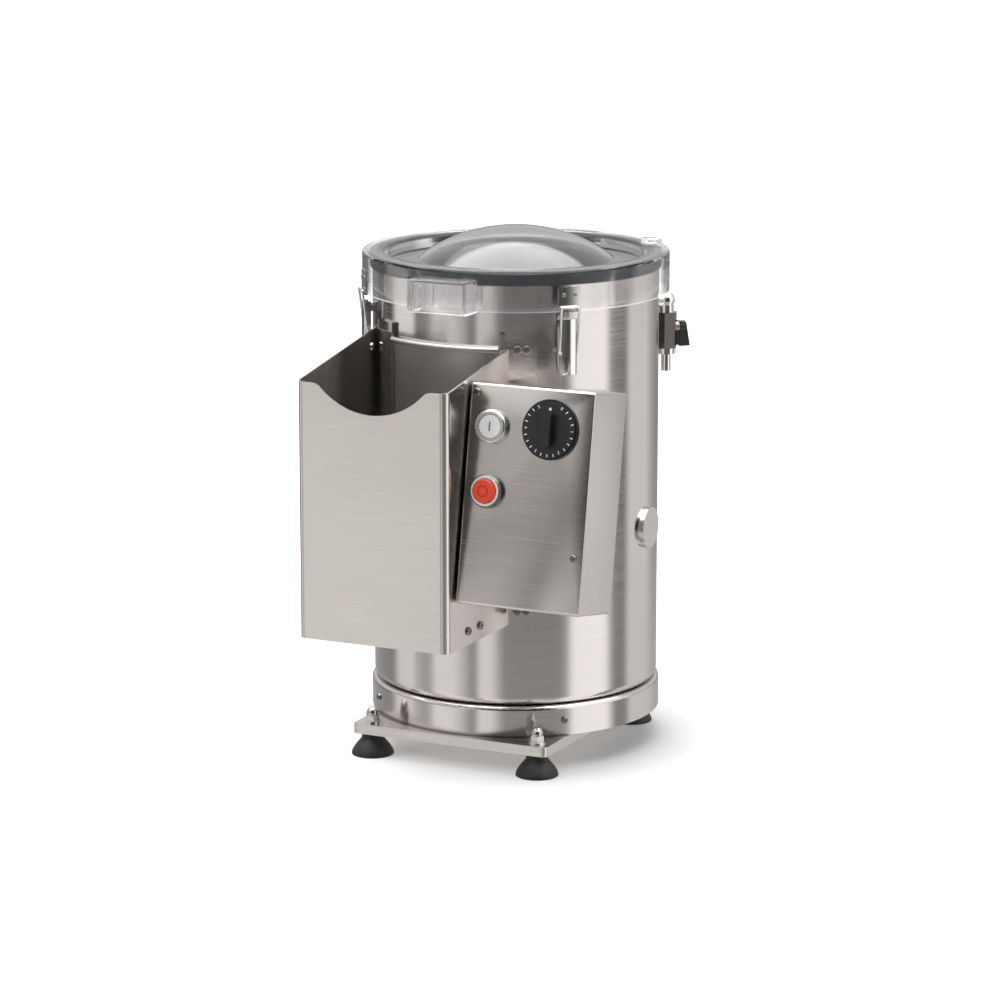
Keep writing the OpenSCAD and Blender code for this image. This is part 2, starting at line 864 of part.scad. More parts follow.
module timer_dial() {
  bar_w = 9;
  rim_h = 3;
  step = 2;
  color(black)
    on_panel(dial_u, dial_v)
      translate([0, 0, dial_lift])
        difference() {
          union() {
            rotate_extrude() {
              square([dial_r, rim_h]);
              square([dial_r - step, dial_h]);
            }
            linear_extrude(dial_h + dial_grip_h)
              translate([-bar_w / 2, -dial_grip_l / 2]) rounded([bar_w, dial_grip_l], bar_w / 3);
          }
          translate([0, 0, -1]) cylinder(r = dial_shaft_r + run, h = dial_h / 2 + 1);
        }
}

// Lid, hinge and latches
// Hollow grip on the front of the lid, open below
module lid_grip() {
  front = lid_r + grip_reach;
  difference() {
    translate([-grip_w / 2, -front, skirt_foot]) cube([grip_w, grip_reach + lid_t, grip_h]);
    translate([lid_t - grip_w / 2, lid_t - front, skirt_foot - lid_t])
      cube([grip_w - 2 * lid_t, grip_reach + lid_t, grip_h]);
    cylinder(r = lid_r - lid_t / 2, h = 2 * lid_top);
  }
}

module lid_dome() {
  intersection() {
    translate([0, 0, recess_z + dome_h - dome_ball])
      rotate([90, 0, 0])
        difference() {
          sphere(dome_ball);
          sphere(dome_ball - lid_t);
        }
    translate([0, 0, recess_z - lid_t]) cylinder(r = dome_r, h = dome_h + 2 * lid_t);
  }
}

module lid() {
  color(clear) {
    rotate_extrude() {
      translate([skirt_in, skirt_foot]) square([lid_t, skirt_h]);
      translate([lid_ring_in - lid_t, lid_top - lid_t]) square([lid_r - lid_ring_in + lid_t, lid_t]);
      translate([lid_ring_in - lid_t, recess_z - lid_t]) square([lid_t, recess_depth + lid_t]);
      translate([dome_r - lid_t, recess_z - lid_t]) square([lid_ring_in - dome_r + lid_t, lid_t]);
    }
    lid_dome();
    lid_grip();
    bearing_at(boss_turn, lid_top - 1)
      intersection() {
        translate([lid_ring_in + 4, -10, 0]) cube([lid_r - lid_ring_in, 20, boss_h + 1]);
        cylinder(r = lid_r - 1, h = boss_h + 1);
      }
  }
}

module lid_seal() {
  mid = drum_r - drum_t / 2;
  color([0.22, 0.23, 0.26])
    rotate_extrude()
      translate([mid - seal_w / 2, drum_top + run]) square([seal_w, seal_h - 2 * run]);
}

// Keeper plate on the lid's skirt, with an outward lip along its lower edge
module latch_keepers() {
  color(bright)
    for (turn = latch_turns)
      bearing_at(turn, skirt_foot) {
        intersection() {
          translate([lid_r - 10, -lever_w / 2, 0]) cube([20, lever_w, keeper_t]);
          rotate_extrude() translate([lid_r, 0]) square([keeper_lip, keeper_t]);
        }
        intersection() {
          translate([lid_r - 10, -keeper_w / 2, 0]) cube([20, keeper_w, keeper_h]);
          rotate_extrude() translate([lid_r, 0]) square([keeper_t, keeper_h]);
        }
      }
}

// Knuckle round the hinge pin
module knuckle(from, len) {
  translate([from, hinge_y, hinge_z]) rotate([0, 90, 0]) cylinder(r = knuckle_r, h = len);
}

module pin_hole(r) {
  translate([-2 * knuckle_l, hinge_y, hinge_z]) rotate([0, 90, 0]) cylinder(r = r, h = 4 * knuckle_l);
}

module lid_hinge_leaf() {
  half = knuckle_l / 2 - knuckle_gap;
  color(bright)
    difference() {
      union() {
        knuckle(-half, 2 * half);
        translate([-half, lid_r - 2, hinge_z]) cube([2 * half, hinge_y - lid_r + 2, knuckle_r]);
        intersection() {
          translate([-knuckle_l, lid_r / 2, hinge_z]) cube([2 * knuckle_l, lid_r, hinge_drop - 4]);
          cylinder(r = lid_r + keeper_t, h = 2 * drum_top);
        }
      }
      cylinder(r = lid_r, h = 2 * drum_top);
      pin_hole(hinge_pin_r + run);
    }
}

module hinge_bracket() {
  reach = 1.5 * knuckle_l;
  web_h = 8;
  pad_h = 30;
  pad_t = 3;
  web_top = skirt_foot - 3;
  web_low = web_top - web_h;
  color(bright)
    difference() {
      union() {
        for (x = [-reach, knuckle_l / 2]) {
          knuckle(x, knuckle_l);
          translate([x, hinge_y - knuckle_r, web_low]) cube([knuckle_l, 2 * knuckle_r, hinge_z - web_low]);
        }
        translate([-reach, drum_r / 2, web_low]) cube([2 * reach, hinge_y + knuckle_r - drum_r / 2, web_h]);
        intersection() {
          translate([-reach, drum_r / 2, web_low - pad_h]) cube([2 * reach, drum_r, pad_h + web_h / 2]);
          cylinder(r = drum_r + pad_t, h = 2 * drum_top);
        }
      }
      cylinder(r = drum_r, h = 2 * drum_top);
      pin_hole(hinge_pin_r + run / 2);
    }
}

module hinge_pin() {
  long = 3 * knuckle_l + 4;
  color(grey)
    translate([-long / 2, hinge_y, hinge_z]) rotate([0, 90, 0]) cylinder(r = hinge_pin_r, h = long);
}

// Cylinder across a latch, at a place in its radial plane
module cross_pin(r, z, rad, long) {
  translate([r, long / 2, z]) rotate([90, 0, 0]) cylinder(r = rad, h = long);
}

module latch_bases() {
  plate_low = lever_foot + 5;
  ear_y = base_w / 2 - slide - ear_t;
  color(bright)
    for (turn = latch_turns)
      bearing_at(turn, 0) {
        intersection() {
          translate([drum_r - 10, -base_w / 2, plate_low]) cube([20, base_w, pivot_z + 3 - plate_low]);
          rotate_extrude() translate([drum_r, 0]) square([2, drum_top]);
        }
        for (y = [-ear_y - ear_t, ear_y]) {
          difference() {
            translate([drum_r - 2, y, pivot_z - 6]) cube([pivot_r - drum_r + 2, ear_t, 6.5]);
            cylinder(r = drum_r + 1, h = drum_top);
          }
          translate([0, y + ear_t / 2, 0]) cross_pin(pivot_r, pivot_z, pivot_ear_r, ear_t);
        }
        cross_pin(pivot_r, pivot_z, pivot_pin_r, lever_w);
      }
}

// Channel-shaped lever that hangs on its pivot and folds down over the base
module lever(turn) {
  front = lever_back + lever_d;
  color(bright)
    bearing_at(turn, lever_foot)
      difference() {
        intersection() {
          translate([lever_back, -lever_w / 2, 0]) cube([lever_d, lever_w, lever_l - 2]);
          translate([front - lever_round, 0, 0]) cylinder(r = lever_round, h = lever_l);
        }
        intersection() {
          translate([lever_back - 1, -base_w / 2, lever_wall]) cube([lever_d, base_w, lever_l]);
          translate([front - lever_round, 0, 0]) cylinder(r = lever_round - lever_wall, h = lever_l);
        }
        translate([0, 0, -lever_foot]) {
          cross_pin(pivot_r, pivot_z, pivot_pin_r + run, 2 * lever_w);
          cross_pin(bail_pivot_r, bail_pivot_z, wire_r + run, 2 * lever_w);
        }
      }
}

module lever_right() lever(latch_turns[0]);

module lever_left() lever(latch_turns[1]);

// Wire bail: a flat loop from the lever's sides up to a crossbar in front of the keeper
module bail(turn) {
  reach = bail_top - bail_pivot_z;
  lean = atan((bail_r - bail_pivot_r) / reach);
  inner = lever_w / 2 - lever_wall;
  end = bail_x - wire_bend;
  color(grey)
    bearing_at(turn, bail_pivot_z)
      translate([bail_pivot_r, 0, 0])
        rotate([0, lean, 0])
          for (side = [0, 1])
            mirror([0, side, 0]) {
              translate([0, bail_x, wire_bend]) cylinder(r = wire_r, h = reach - 2 * wire_bend);
              translate([0, end, reach - wire_bend]) wire_corner(0);
              translate([0, end, wire_bend]) wire_corner(-90);
              translate([0, inner, 0]) rotate([-90, 0, 0]) cylinder(r = wire_r, h = end - inner);
              translate([0, -1, reach]) rotate([-90, 0, 0]) cylinder(r = wire_r, h = end + 1);
            }
}

// Quarter bend of the bail's wire
module wire_corner(from) {
  rotate([90, 0, 90])
    rotate([0, 0, from]) rotate_extrude(angle = 90) translate([wire_bend, 0]) circle(wire_r);
}

module bail_right() bail(latch_turns[0]);

module bail_left() bail(latch_turns[1]);

// Water inlet
module inlet_elbow() {
  nut_l = 6;
  color(bright)
    bearing_at(inlet_turn, inlet_z) {
      difference() {
        union() {
          translate([drum_in - 6, 0, 0]) rotate([0, 90, 0]) cylinder(r = pipe_r, h = valve_r - drum_in + 6);
          translate([valve_r, 0, 0]) rotate([90, 0, 0]) sphere(pipe_r + 2);
          translate([valve_r, 0, valve_top - inlet_z]) cylinder(r = pipe_r + 1, h = inlet_z - valve_top);
          difference() {
            translate([drum_r - 2, 0, 0])
              rotate([0, 90, 0]) cylinder(r = pipe_r + 3, h = nut_l + 2, $fn = 6);
            translate([0, 0, -20]) cylinder(r = drum_r, h = 40);
          }
        }
        translate([drum_in - 10, 0, 0])
          rotate([0, 90, 0]) cylinder(r = pipe_bore, h = valve_r - drum_in + 10);
        translate([valve_r, 0, -20]) cylinder(r = pipe_bore, h = 20);
      }
    }
}

module valve_body() {
  color(bright)
    bearing_at(inlet_turn, 0)
      difference() {
        translate([valve_r, 0, valve_foot]) {
          cylinder(r = valve_flats / sqrt(3), h = valve_l, $fn = 6);
          translate([0, 0, stem_z - valve_foot])
            rotate([0, 90, 0]) cylinder(r = stem_pin_r + 2.5, h = valve_flats / 2 + gland_l);
        }
        translate([valve_r, 0, valve_foot - 1]) cylinder(r = pipe_bore, h = valve_l + 2);
        translate([valve_r, 0, stem_z]) sphere(ball_r + run);
        translate([valve_r, 0, stem_z]) rotate([0, 90, 0]) cylinder(r = stem_pin_r + run, h = valve_flats);
      }
}

module hose_tail() {
  color(bright)
    bearing_at(inlet_turn, 0)
      translate([valve_r, 0, valve_foot - collar_h - tail_l])
        difference() {
          union() {
            cylinder(r = tail_r, h = tail_l + 1);
            translate([0, 0, tail_l]) cylinder(r = valve_flats / 2, h = collar_h);
          }
          translate([0, 0, -1]) cylinder(r = tail_r - 1.5, h = tail_l + collar_h + 2);
        }
}

module valve_ball() {
  color(bright)
    bearing_at(inlet_turn, stem_z)
      difference() {
        union() {
          translate([valve_r, 0, 0]) sphere(ball_r);
          translate([valve_r, 0, 0]) rotate([0, 90, 0]) cylinder(r = stem_pin_r, h = stem_l);
        }
        translate([valve_r, 0, -20]) cylinder(r = pipe_bore, h = 40);
      }
}

module valve_lever() {
  hub = valve_r + valve_flats / 2 + gland_l + slide;
  hub_r = 6;
  hub_h = 7;
  wing_w = 10;
  wing_reach = 11;
  color(black)
    bearing_at(inlet_turn, stem_z)
      difference() {
        union() {
          translate([hub, 0, 0]) rotate([0, 90, 0]) cylinder(r = hub_r, h = hub_h);
          translate([0, wing_w / 2, 0])
            rotate([90, 0, 0])
              linear_extrude(wing_w)
                polygon([
                  [hub, hub_r], [hub + hub_h, hub_r - 2], [hub + wing_reach, hub_r - valve_lever_l],
                  [hub, hub_r - valve_lever_l]
                ]);
        }
        translate([valve_r, 0, 0]) rotate([0, 90, 0]) cylinder(r = stem_pin_r + run / 2, h = stem_l + run);
      }
}

// Peeling disc and drive
module peeling_disc() {
  hub_r = 24;
  ridge_l = disc_r - hub_r - 14;
  color([0.72, 0.72, 0.70])
    difference() {
      union() {
        translate([0, 0, disc_z - disc_t]) cylinder(r = disc_r, h = disc_t);
        translate([0, 0, disc_z - disc_t - hub_drop]) cylinder(r = hub_r, h = hub_drop + 1);
        intersection() {
          for (i = [0:ridge_count - 1])
            rotate([0, 0, 360 * i / ridge_count])
              translate([hub_r + 6, 0, disc_z]) rotate([0, 90, 0]) cylinder(r = ridge_r, h = ridge_l);
          translate([0, 0, disc_z - disc_t / 2]) cylinder(r = disc_r, h = 2 * ridge_r);
        }
      }
      translate([0, 0, disc_z - 20]) cylinder(r = shaft_r + run, h = 40);
    }
}

module disc_knob() {
  knob_r = 18;
  knob_h = 16;
  color(grey)
    translate([0, 0, disc_z])
      difference() {
        rotate_extrude() {
          square([knob_r, knob_h - 4]);
          square([knob_r - 4, knob_h]);
          translate([knob_r - 4, knob_h - 4]) circle(4);
        }
        translate([0, 0, -1]) cylinder(r = shaft_r + run, h = knob_h - 3);
      }
}

module main_shaft() {
  low = pulley_z - 4;
  high = disc_z + 10;
  seat = disc_z - disc_t - hub_drop;
  color(bright) {
    translate([0, 0, low]) cylinder(r = shaft_r, h = high - low);
    translate([0, 0, floor_z + 14]) cylinder(r = collar_r, h = seat - floor_z - 14);
  }
}

module bearings() {
  color(grey)
    for (z = [housing_top - housing_l, housing_top - bearing_h])
      translate([0, 0, z])
        difference() {
          cylinder(r = bearing_r, h = bearing_h);
          translate([0, 0, -1]) cylinder(r = shaft_r + run, h = bearing_h + 2);
        }
}

module bearing_housing() {
  low = housing_top - housing_l;
  color([0.35, 0.36, 0.38])
    difference() {
      union() {
        translate([0, 0, low]) cylinder(r = housing_r, h = housing_l);
        translate([0, 0, housing_top - housing_flange_t])
          cylinder(r = housing_flange_r, h = housing_flange_t);
      }
      translate([0, 0, low - 1]) cylinder(r = bearing_r - 3, h = housing_l + 2);
      for (z = [low - 1, housing_top - bearing_h])
        translate([0, 0, z]) cylinder(r = bearing_r + run, h = bearing_h + 1);
    }
}

module shaft_seal() {
  seal_l = 10;
  color(black)
    translate([0, 0, housing_top])
      difference() {
        cylinder(r = bearing_r, h = seal_l);
        translate([0, 0, -1]) cylinder(r = shaft_r + run, h = seal_l + 2);
      }
}

// Grooved rim of a pulley, as a profile to revolve
module pulley_profile(r) {
  flare = pulley_h / 2 - 2;
  narrow = belt_h / 2 + 0.6;
  difference() {
    square([r, pulley_h]);
    polygon([
      [r + 1, pulley_h / 2 - flare], [r - groove, pulley_h / 2 - narrow],
      [r - groove, pulley_h / 2 + narrow], [r + 1, pulley_h / 2 + flare]
    ]);
  }
}

module large_pulley() {
  color([0.62, 0.63, 0.64])
    translate([0, 0, pulley_z])
      difference() {
        rotate_extrude() pulley_profile(pulley_r);
        translate([0, 0, -1]) cylinder(r = shaft_r + run, h = pulley_h + 2);
      }
}

module motor_pulley() {
  color([0.62, 0.63, 0.64])
    translate([0, motor_y, pulley_z])
      difference() {
        rotate_extrude() pulley_profile(small_pulley_r);
        translate([0, 0, -1]) cylinder(r = motor_shaft_r + run, h = pulley_h + 2);
      }
}

// Outline of the belt's run round both pulleys
module belt_line(grow) {
  hull() {
    circle(pulley_r - groove + belt_seat + grow, $fn = 64);
    translate([0, motor_y]) circle(small_pulley_r - groove + belt_seat + grow, $fn = 48);
  }
}

module drive_belt() {
  color(black)
    translate([0, 0, pulley_z + (pulley_h - belt_h) / 2])
      linear_extrude(belt_h)
        difference() {
          belt_line(belt_t);
          belt_line(0);
        }
}

module motor() {
  low = housing_top - housing_flange_t - motor_l;
  boss_r = 20;
  bell = 10;
  color([0.40, 0.42, 0.45])
    translate([0, motor_y, low])
      difference() {
        rotate_extrude() {
          translate([0, bell]) square([motor_r, motor_l - 2 * bell]);
          square([motor_r - bell / 2, motor_l]);
          translate([0, -4]) square([boss_r, 6]);
        }
        translate([0, 0, -5]) cylinder(r = motor_shaft_r + run, h = motor_bore + 5);
      }
}

module motor_shaft() {
  low = pulley_z - 2;
  high = housing_top - housing_flange_t - motor_l + motor_bore - 1;
  color(bright) translate([0, motor_y, low]) cylinder(r = motor_shaft_r, h = high - low);
}

module motor_plate() {
  color(steel)
    translate([0, 0, housing_top - housing_flange_t])
      linear_extrude(housing_flange_t)
        difference() {
          translate([0, motor_y]) circle(motor_r + motor_rim);
          circle(housing_flange_r + 1);
        }
}

module run_capacitor() {
  color(grey)
    translate([capacitor_at[0], capacitor_at[1], housing_top - capacitor_l]) {
      cylinder(r = capacitor_r, h = capacitor_l);
      translate([0, 0, -6]) cylinder(r = capacitor_r - 6, h = 7);
    }
}

base_plate();
rubber_feet();
foot_studs();
foot_washers();
cap_nuts();
base_ring();
base_ring_screws();
drum_shell();
chamber_floor();
drain_spout();
side_plug();
cable_gland();
chute();
chute_screws();
door_guides();
discharge_door();
control_box();
control_bracket();
panel_screws();
start_bezel();
stop_bezel();
button_bodies();
start_cap();
stop_cap();
timer_body();
timer_shaft();
timer_dial();
lid();
lid_seal();
latch_keepers();
lid_hinge_leaf();
hinge_bracket();
hinge_pin();
latch_bases();
lever_right();
lever_left();
bail_right();
bail_left();
inlet_elbow();
valve_body();
hose_tail();
valve_ball();
valve_lever();
peeling_disc();
disc_knob();
main_shaft();
bearings();
bearing_housing();
shaft_seal();
large_pulley();
drive_belt();
motor_pulley();
motor_shaft();
motor();
motor_plate();
run_capacitor();
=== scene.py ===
"""Looks of a bench-top garlic peeling machine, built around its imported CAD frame."""

import json
import logging
import math
from dataclasses import dataclass
from enum import Enum
from typing import Callable, Dict, List, Optional, Sequence, Set, Tuple

import bpy
from mathutils import Matrix, Vector

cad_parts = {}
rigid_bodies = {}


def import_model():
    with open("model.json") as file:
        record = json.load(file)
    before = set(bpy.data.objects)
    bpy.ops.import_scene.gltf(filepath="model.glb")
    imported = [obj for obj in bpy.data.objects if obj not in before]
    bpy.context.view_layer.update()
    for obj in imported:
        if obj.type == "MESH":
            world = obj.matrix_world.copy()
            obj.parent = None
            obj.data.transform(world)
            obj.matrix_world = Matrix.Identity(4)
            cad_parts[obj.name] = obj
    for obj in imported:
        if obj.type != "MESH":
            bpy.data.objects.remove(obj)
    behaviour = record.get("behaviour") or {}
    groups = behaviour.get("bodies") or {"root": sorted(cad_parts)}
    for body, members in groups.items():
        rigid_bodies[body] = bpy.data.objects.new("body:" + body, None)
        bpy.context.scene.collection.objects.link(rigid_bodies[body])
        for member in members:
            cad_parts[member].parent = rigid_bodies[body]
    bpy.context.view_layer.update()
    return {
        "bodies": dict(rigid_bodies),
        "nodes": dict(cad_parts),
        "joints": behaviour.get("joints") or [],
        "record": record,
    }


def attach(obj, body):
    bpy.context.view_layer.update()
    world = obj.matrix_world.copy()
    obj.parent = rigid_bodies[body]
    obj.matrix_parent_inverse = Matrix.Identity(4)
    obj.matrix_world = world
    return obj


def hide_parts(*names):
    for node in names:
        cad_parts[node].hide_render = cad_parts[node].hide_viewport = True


log = logging.getLogger("garlic_peeler")

Colour = Tuple[float, float, float, float]
Point = Tuple[float, float, float]
Ring = Tuple[float, float]
Span = Tuple[float, float]
Target = bpy.types.NodeSocket

MM = 0.001
# Vertices closer than this, in metres, are merged
MERGE = 1e-6
# Faces that meet at less than this angle, in degrees, are joined
FLAT = 0.5
# Smallest angle between faces that counts as a sharp edge, in degrees
SHARP = 30.0
# Largest angle that is shaded smooth, in degrees
SMOOTH = 35.0
# A face points down where the Z of its normal is below this
DOWN = -0.9
# Values between which most of a noise texture lies
NOISE_SPAN = (0.3, 0.7)
BLACK = (0.0, 0.0, 0.0, 1.0)
WHITE = (1.0, 1.0, 1.0, 1.0)
# Turn that points local Z along X
SIDEWAYS = Matrix.Rotation(math.radians(90), 4, "Y")


class Grain(Enum):
    """Way that the brush lines of a metal sheet run."""

    AROUND = "around"
    LEVEL = "level"
    UPRIGHT = "upright"


class Part(Enum):
    """Names of the CAD bodies that new pieces ride on."""

    MACHINE = "machine"
    LID = "lid"
    DIAL = "dial"
    START = "start"
    STOP = "stop"


class Nodes:
    """Small wrapper that adds and links the nodes of one tree."""

    def __init__(self, tree: bpy.types.NodeTree) -> None:
        """Keep the tree to work on.

        Args:
            tree: node tree of a material, a world or a group.
        """
        self.tree = tree

    def add(
        self, kind: str, settings: Optional[Dict[str, object]] = None, **inputs: object
    ) -> bpy.types.Node:
        """Add a node and set its inputs.

        Args:
            kind: type name of the node, without its ShaderNode prefix.
            settings: properties of the node itself.
            **inputs: socket names, with underscores for spaces, and their values or links.

        Returns:
            The new node.
        """
        node = self.tree.nodes.new("ShaderNode" + kind)
        for name, value in (settings or {}).items():
            setattr(node, name, value)
        for name, value in inputs.items():
            self.feed(node.inputs[name.replace("_", " ")], value)
        return node

    def feed(self, socket: Target, value: object) -> None:
        """Link a socket to an output, or set its value.

        Args:
            socket: input to feed.
            value: output socket or plain value.
        """
        if isinstance(value, bpy.types.NodeSocket):
            self.tree.links.new(value, socket)
        else:
            socket.default_value = value

    def math(self, operation: str, first: object, second: object) -> Target:
        """Add a Math node.

        Args:
            operation: name of the operation.
            first: first value or link.
            second: second value or link.

        Returns:
            The node's output.
        """
        node = self.add("Math", {"operation": operation})
        self.feed(node.inputs[0], first)
        self.feed(node.inputs[1], second)
        return node.outputs[0]

    def mix(self, share: object, low: object, high: object) -> Target:
        """Add a Mix node for colours.

        Args:
            share: factor, as a value or a link.
            low: colour at factor 0.
            high: colour at factor 1.

        Returns:
            The mixed colour.
        """
        node = self.add("Mix", {"data_type": "RGBA"})
        self.feed(node.inputs[0], share)
        self.feed(node.inputs[6], low)
        self.feed(node.inputs[7], high)
        return node.outputs[2]

    def span(self, value: object, low: float, high: float, out_low: float, out_high: float) -> Target:
        """Add a Map Range node.

        Args:
            value: link to map.
            low: lower end of the input.
            high: upper end of the input.
            out_low: value at the lower end.
            out_high: value at the upper end.

        Returns:
            The mapped value.
        """
        node = self.add("MapRange")
        for index, item in enumerate((value, low, high, out_low, out_high)):
            self.feed(node.inputs[index], item)
        return node.outputs[0]

    def band(self, value: object, rise: Span, fall: Span) -> Target:
        """Add a mask with soft edges.

        Args:
            value: link to test.
            rise: values between which the mask comes up.
            fall: values between which it goes down again.

        Returns:
            The mask, from 0 to 1.
        """
        return self.math("MULTIPLY", self.span(value, *rise, 0.0, 1.0), self.span(value, *fall, 1.0, 0.0))

    def group(self, tree: bpy.types.NodeTree, **inputs: object) -> bpy.types.NodeOutputs:
        """Place a shared group.

        Args:
            tree: node tree of the group.
            **inputs: values or links of its inputs.

        Returns:
            The group's outputs.
        """
        return self.add("Group", {"node_tree": tree}, **inputs).outputs

    def place(self) -> Target:
        """Place of each point in the frame, in metres."""
        return self.add("TexCoord").outputs["Object"]

    def height(self) -> Target:
        """Height of each point above the bench, in metres."""
        return self.add("SeparateXYZ", Vector=self.place()).outputs["Z"]

    def reach(self) -> Target:
        """Measure from the drum's axis.

        Returns:
            The distance of each point in metres.
        """
        flat = self.add("VectorMath", {"operation": "MULTIPLY"})
        self.feed(flat.inputs[0], self.place())
        self.feed(flat.inputs[1], (1.0, 1.0, 0.0))
        length = self.add("VectorMath", {"operation": "LENGTH"})
        self.feed(length.inputs[0], flat.outputs["Vector"])
        return length.outputs["Value"]


class EffectGroups:
    """Shader node groups that several finishes share."""

    # Output, share of the density and detail of each layer of brush lines
    LAYERS = (("Lines", 0.22, 3.0), ("Fine", 1.0, 1.0))
    # Waves to a metre of the brush lines, the patches and the pebbles
    LINES_ALONG = 12.0
    LINES_ACROSS = 2200.0
    PATCHES = 9.0
    PEBBLES = 1400.0
    # How strongly finer waves show in the lines and the patches, and how many show in the patches
    LINE_BREAKS = 0.6
    PATCH_BREAKS = 0.55
    PATCH_DETAIL = 4.0

    def __init__(self) -> None:
        """Build the groups once."""
        self.brush = self._brush_lines()
        self.smudge = self._smudges()
        self.grain = self._moulded_grain()

    @staticmethod
    def _group(
        name: str, inputs: Dict[str, float], outputs: Sequence[str]
    ) -> Tuple[Nodes, bpy.types.NodeOutputs, bpy.types.NodeInputs]:
        """Start a group that reads a vector.

        Args:
            name: name of the group.
            inputs: name and default of each further input.
            outputs: names of the value outputs.

        Returns:
            The builder, the sockets that the group reads and those that it writes.
        """
        tree = bpy.data.node_groups.new(name, "ShaderNodeTree")
        tree.interface.new_socket("Vector", in_out="INPUT", socket_type="NodeSocketVector")
        for label, default in inputs.items():
            socket = tree.interface.new_socket(label, in_out="INPUT", socket_type="NodeSocketFloat")
            socket.default_value = default
        for label in outputs:
            tree.interface.new_socket(label, in_out="OUTPUT", socket_type="NodeSocketFloat")
        start = tree.nodes.new("NodeGroupInput")
        end = tree.nodes.new("NodeGroupOutput")
        return Nodes(tree), start.outputs, end.inputs

    def _brush_lines(self) -> bpy.types.NodeTree:
        """Fine lines that run along X of their vector.

        Returns:
            The group: its vector holds metres, and Lines and Fine run from 0 to 1.
        """
        inputs = {"Along": self.LINES_ALONG, "Across": self.LINES_ACROSS}
        nodes, given, made = self._group("brush_lines", inputs, [layer[0] for layer in self.LAYERS])
        parts = nodes.add("SeparateXYZ", Vector=given["Vector"]).outputs
        along = nodes.math("MULTIPLY", parts["X"], given["Along"])
        for label, share, detail in self.LAYERS:
            density = nodes.math("MULTIPLY", given["Across"], share)
            across, depth = (nodes.math("MULTIPLY", parts[axis], density) for axis in ("Y", "Z"))
            place = nodes.add("CombineXYZ", X=along, Y=across, Z=depth).outputs[0]
            noise = nodes.add("TexNoise", Vector=place, Scale=1.0, Detail=detail, Roughness=self.LINE_BREAKS)
            nodes.feed(made[label], noise.outputs["Fac"])
        return nodes.tree

    def _smudges(self) -> bpy.types.NodeTree:
        """Broad soft patches, as of wiped metal or handled plastic.

        Returns:
            The group, whose Patches run from 0 to 1.
        """
        nodes, given, made = self._group("smudges", {"Scale": self.PATCHES}, ["Patches"])
        noise = nodes.add("TexNoise", Vector=given["Vector"], Scale=given["Scale"])
        nodes.feed(noise.inputs["Detail"], self.PATCH_DETAIL)
        nodes.feed(noise.inputs["Roughness"], self.PATCH_BREAKS)
        nodes.feed(made["Patches"], nodes.span(noise.outputs["Fac"], *NOISE_SPAN, 0.0, 1.0))
        return nodes.tree

    def _moulded_grain(self) -> bpy.types.NodeTree:
        """Fine pebbled skin of moulded rubber or plastic.

        Returns:
            The group, whose Height runs from 0 to 1.
        """
        nodes, given, made = self._group("moulded_grain", {"Scale": self.PEBBLES}, ["Height"])
        smooth = {"feature": "SMOOTH_F1"}
        cells = nodes.add("TexVoronoi", smooth, Vector=given["Vector"], Scale=given["Scale"])
        nodes.feed(made["Height"], cells.outputs["Distance"])
        return nodes.tree


def grey(level: float) -> Colour:
    """Colour of equal channels."""
    return (level, level, level, 1.0)


def new_material(name: str) -> Tuple[bpy.types.Material, Nodes, bpy.types.Node]:
    """Start a material with its Principled shader.

    Args:
        name: name of the material.

    Returns:
        The material, the builder of its tree and its shader node.
    """
    material = bpy.data.materials.new(name)
    material.use_nodes = True
    nodes = Nodes(material.node_tree)
    return material, nodes, material.node_tree.nodes["Principled BSDF"]


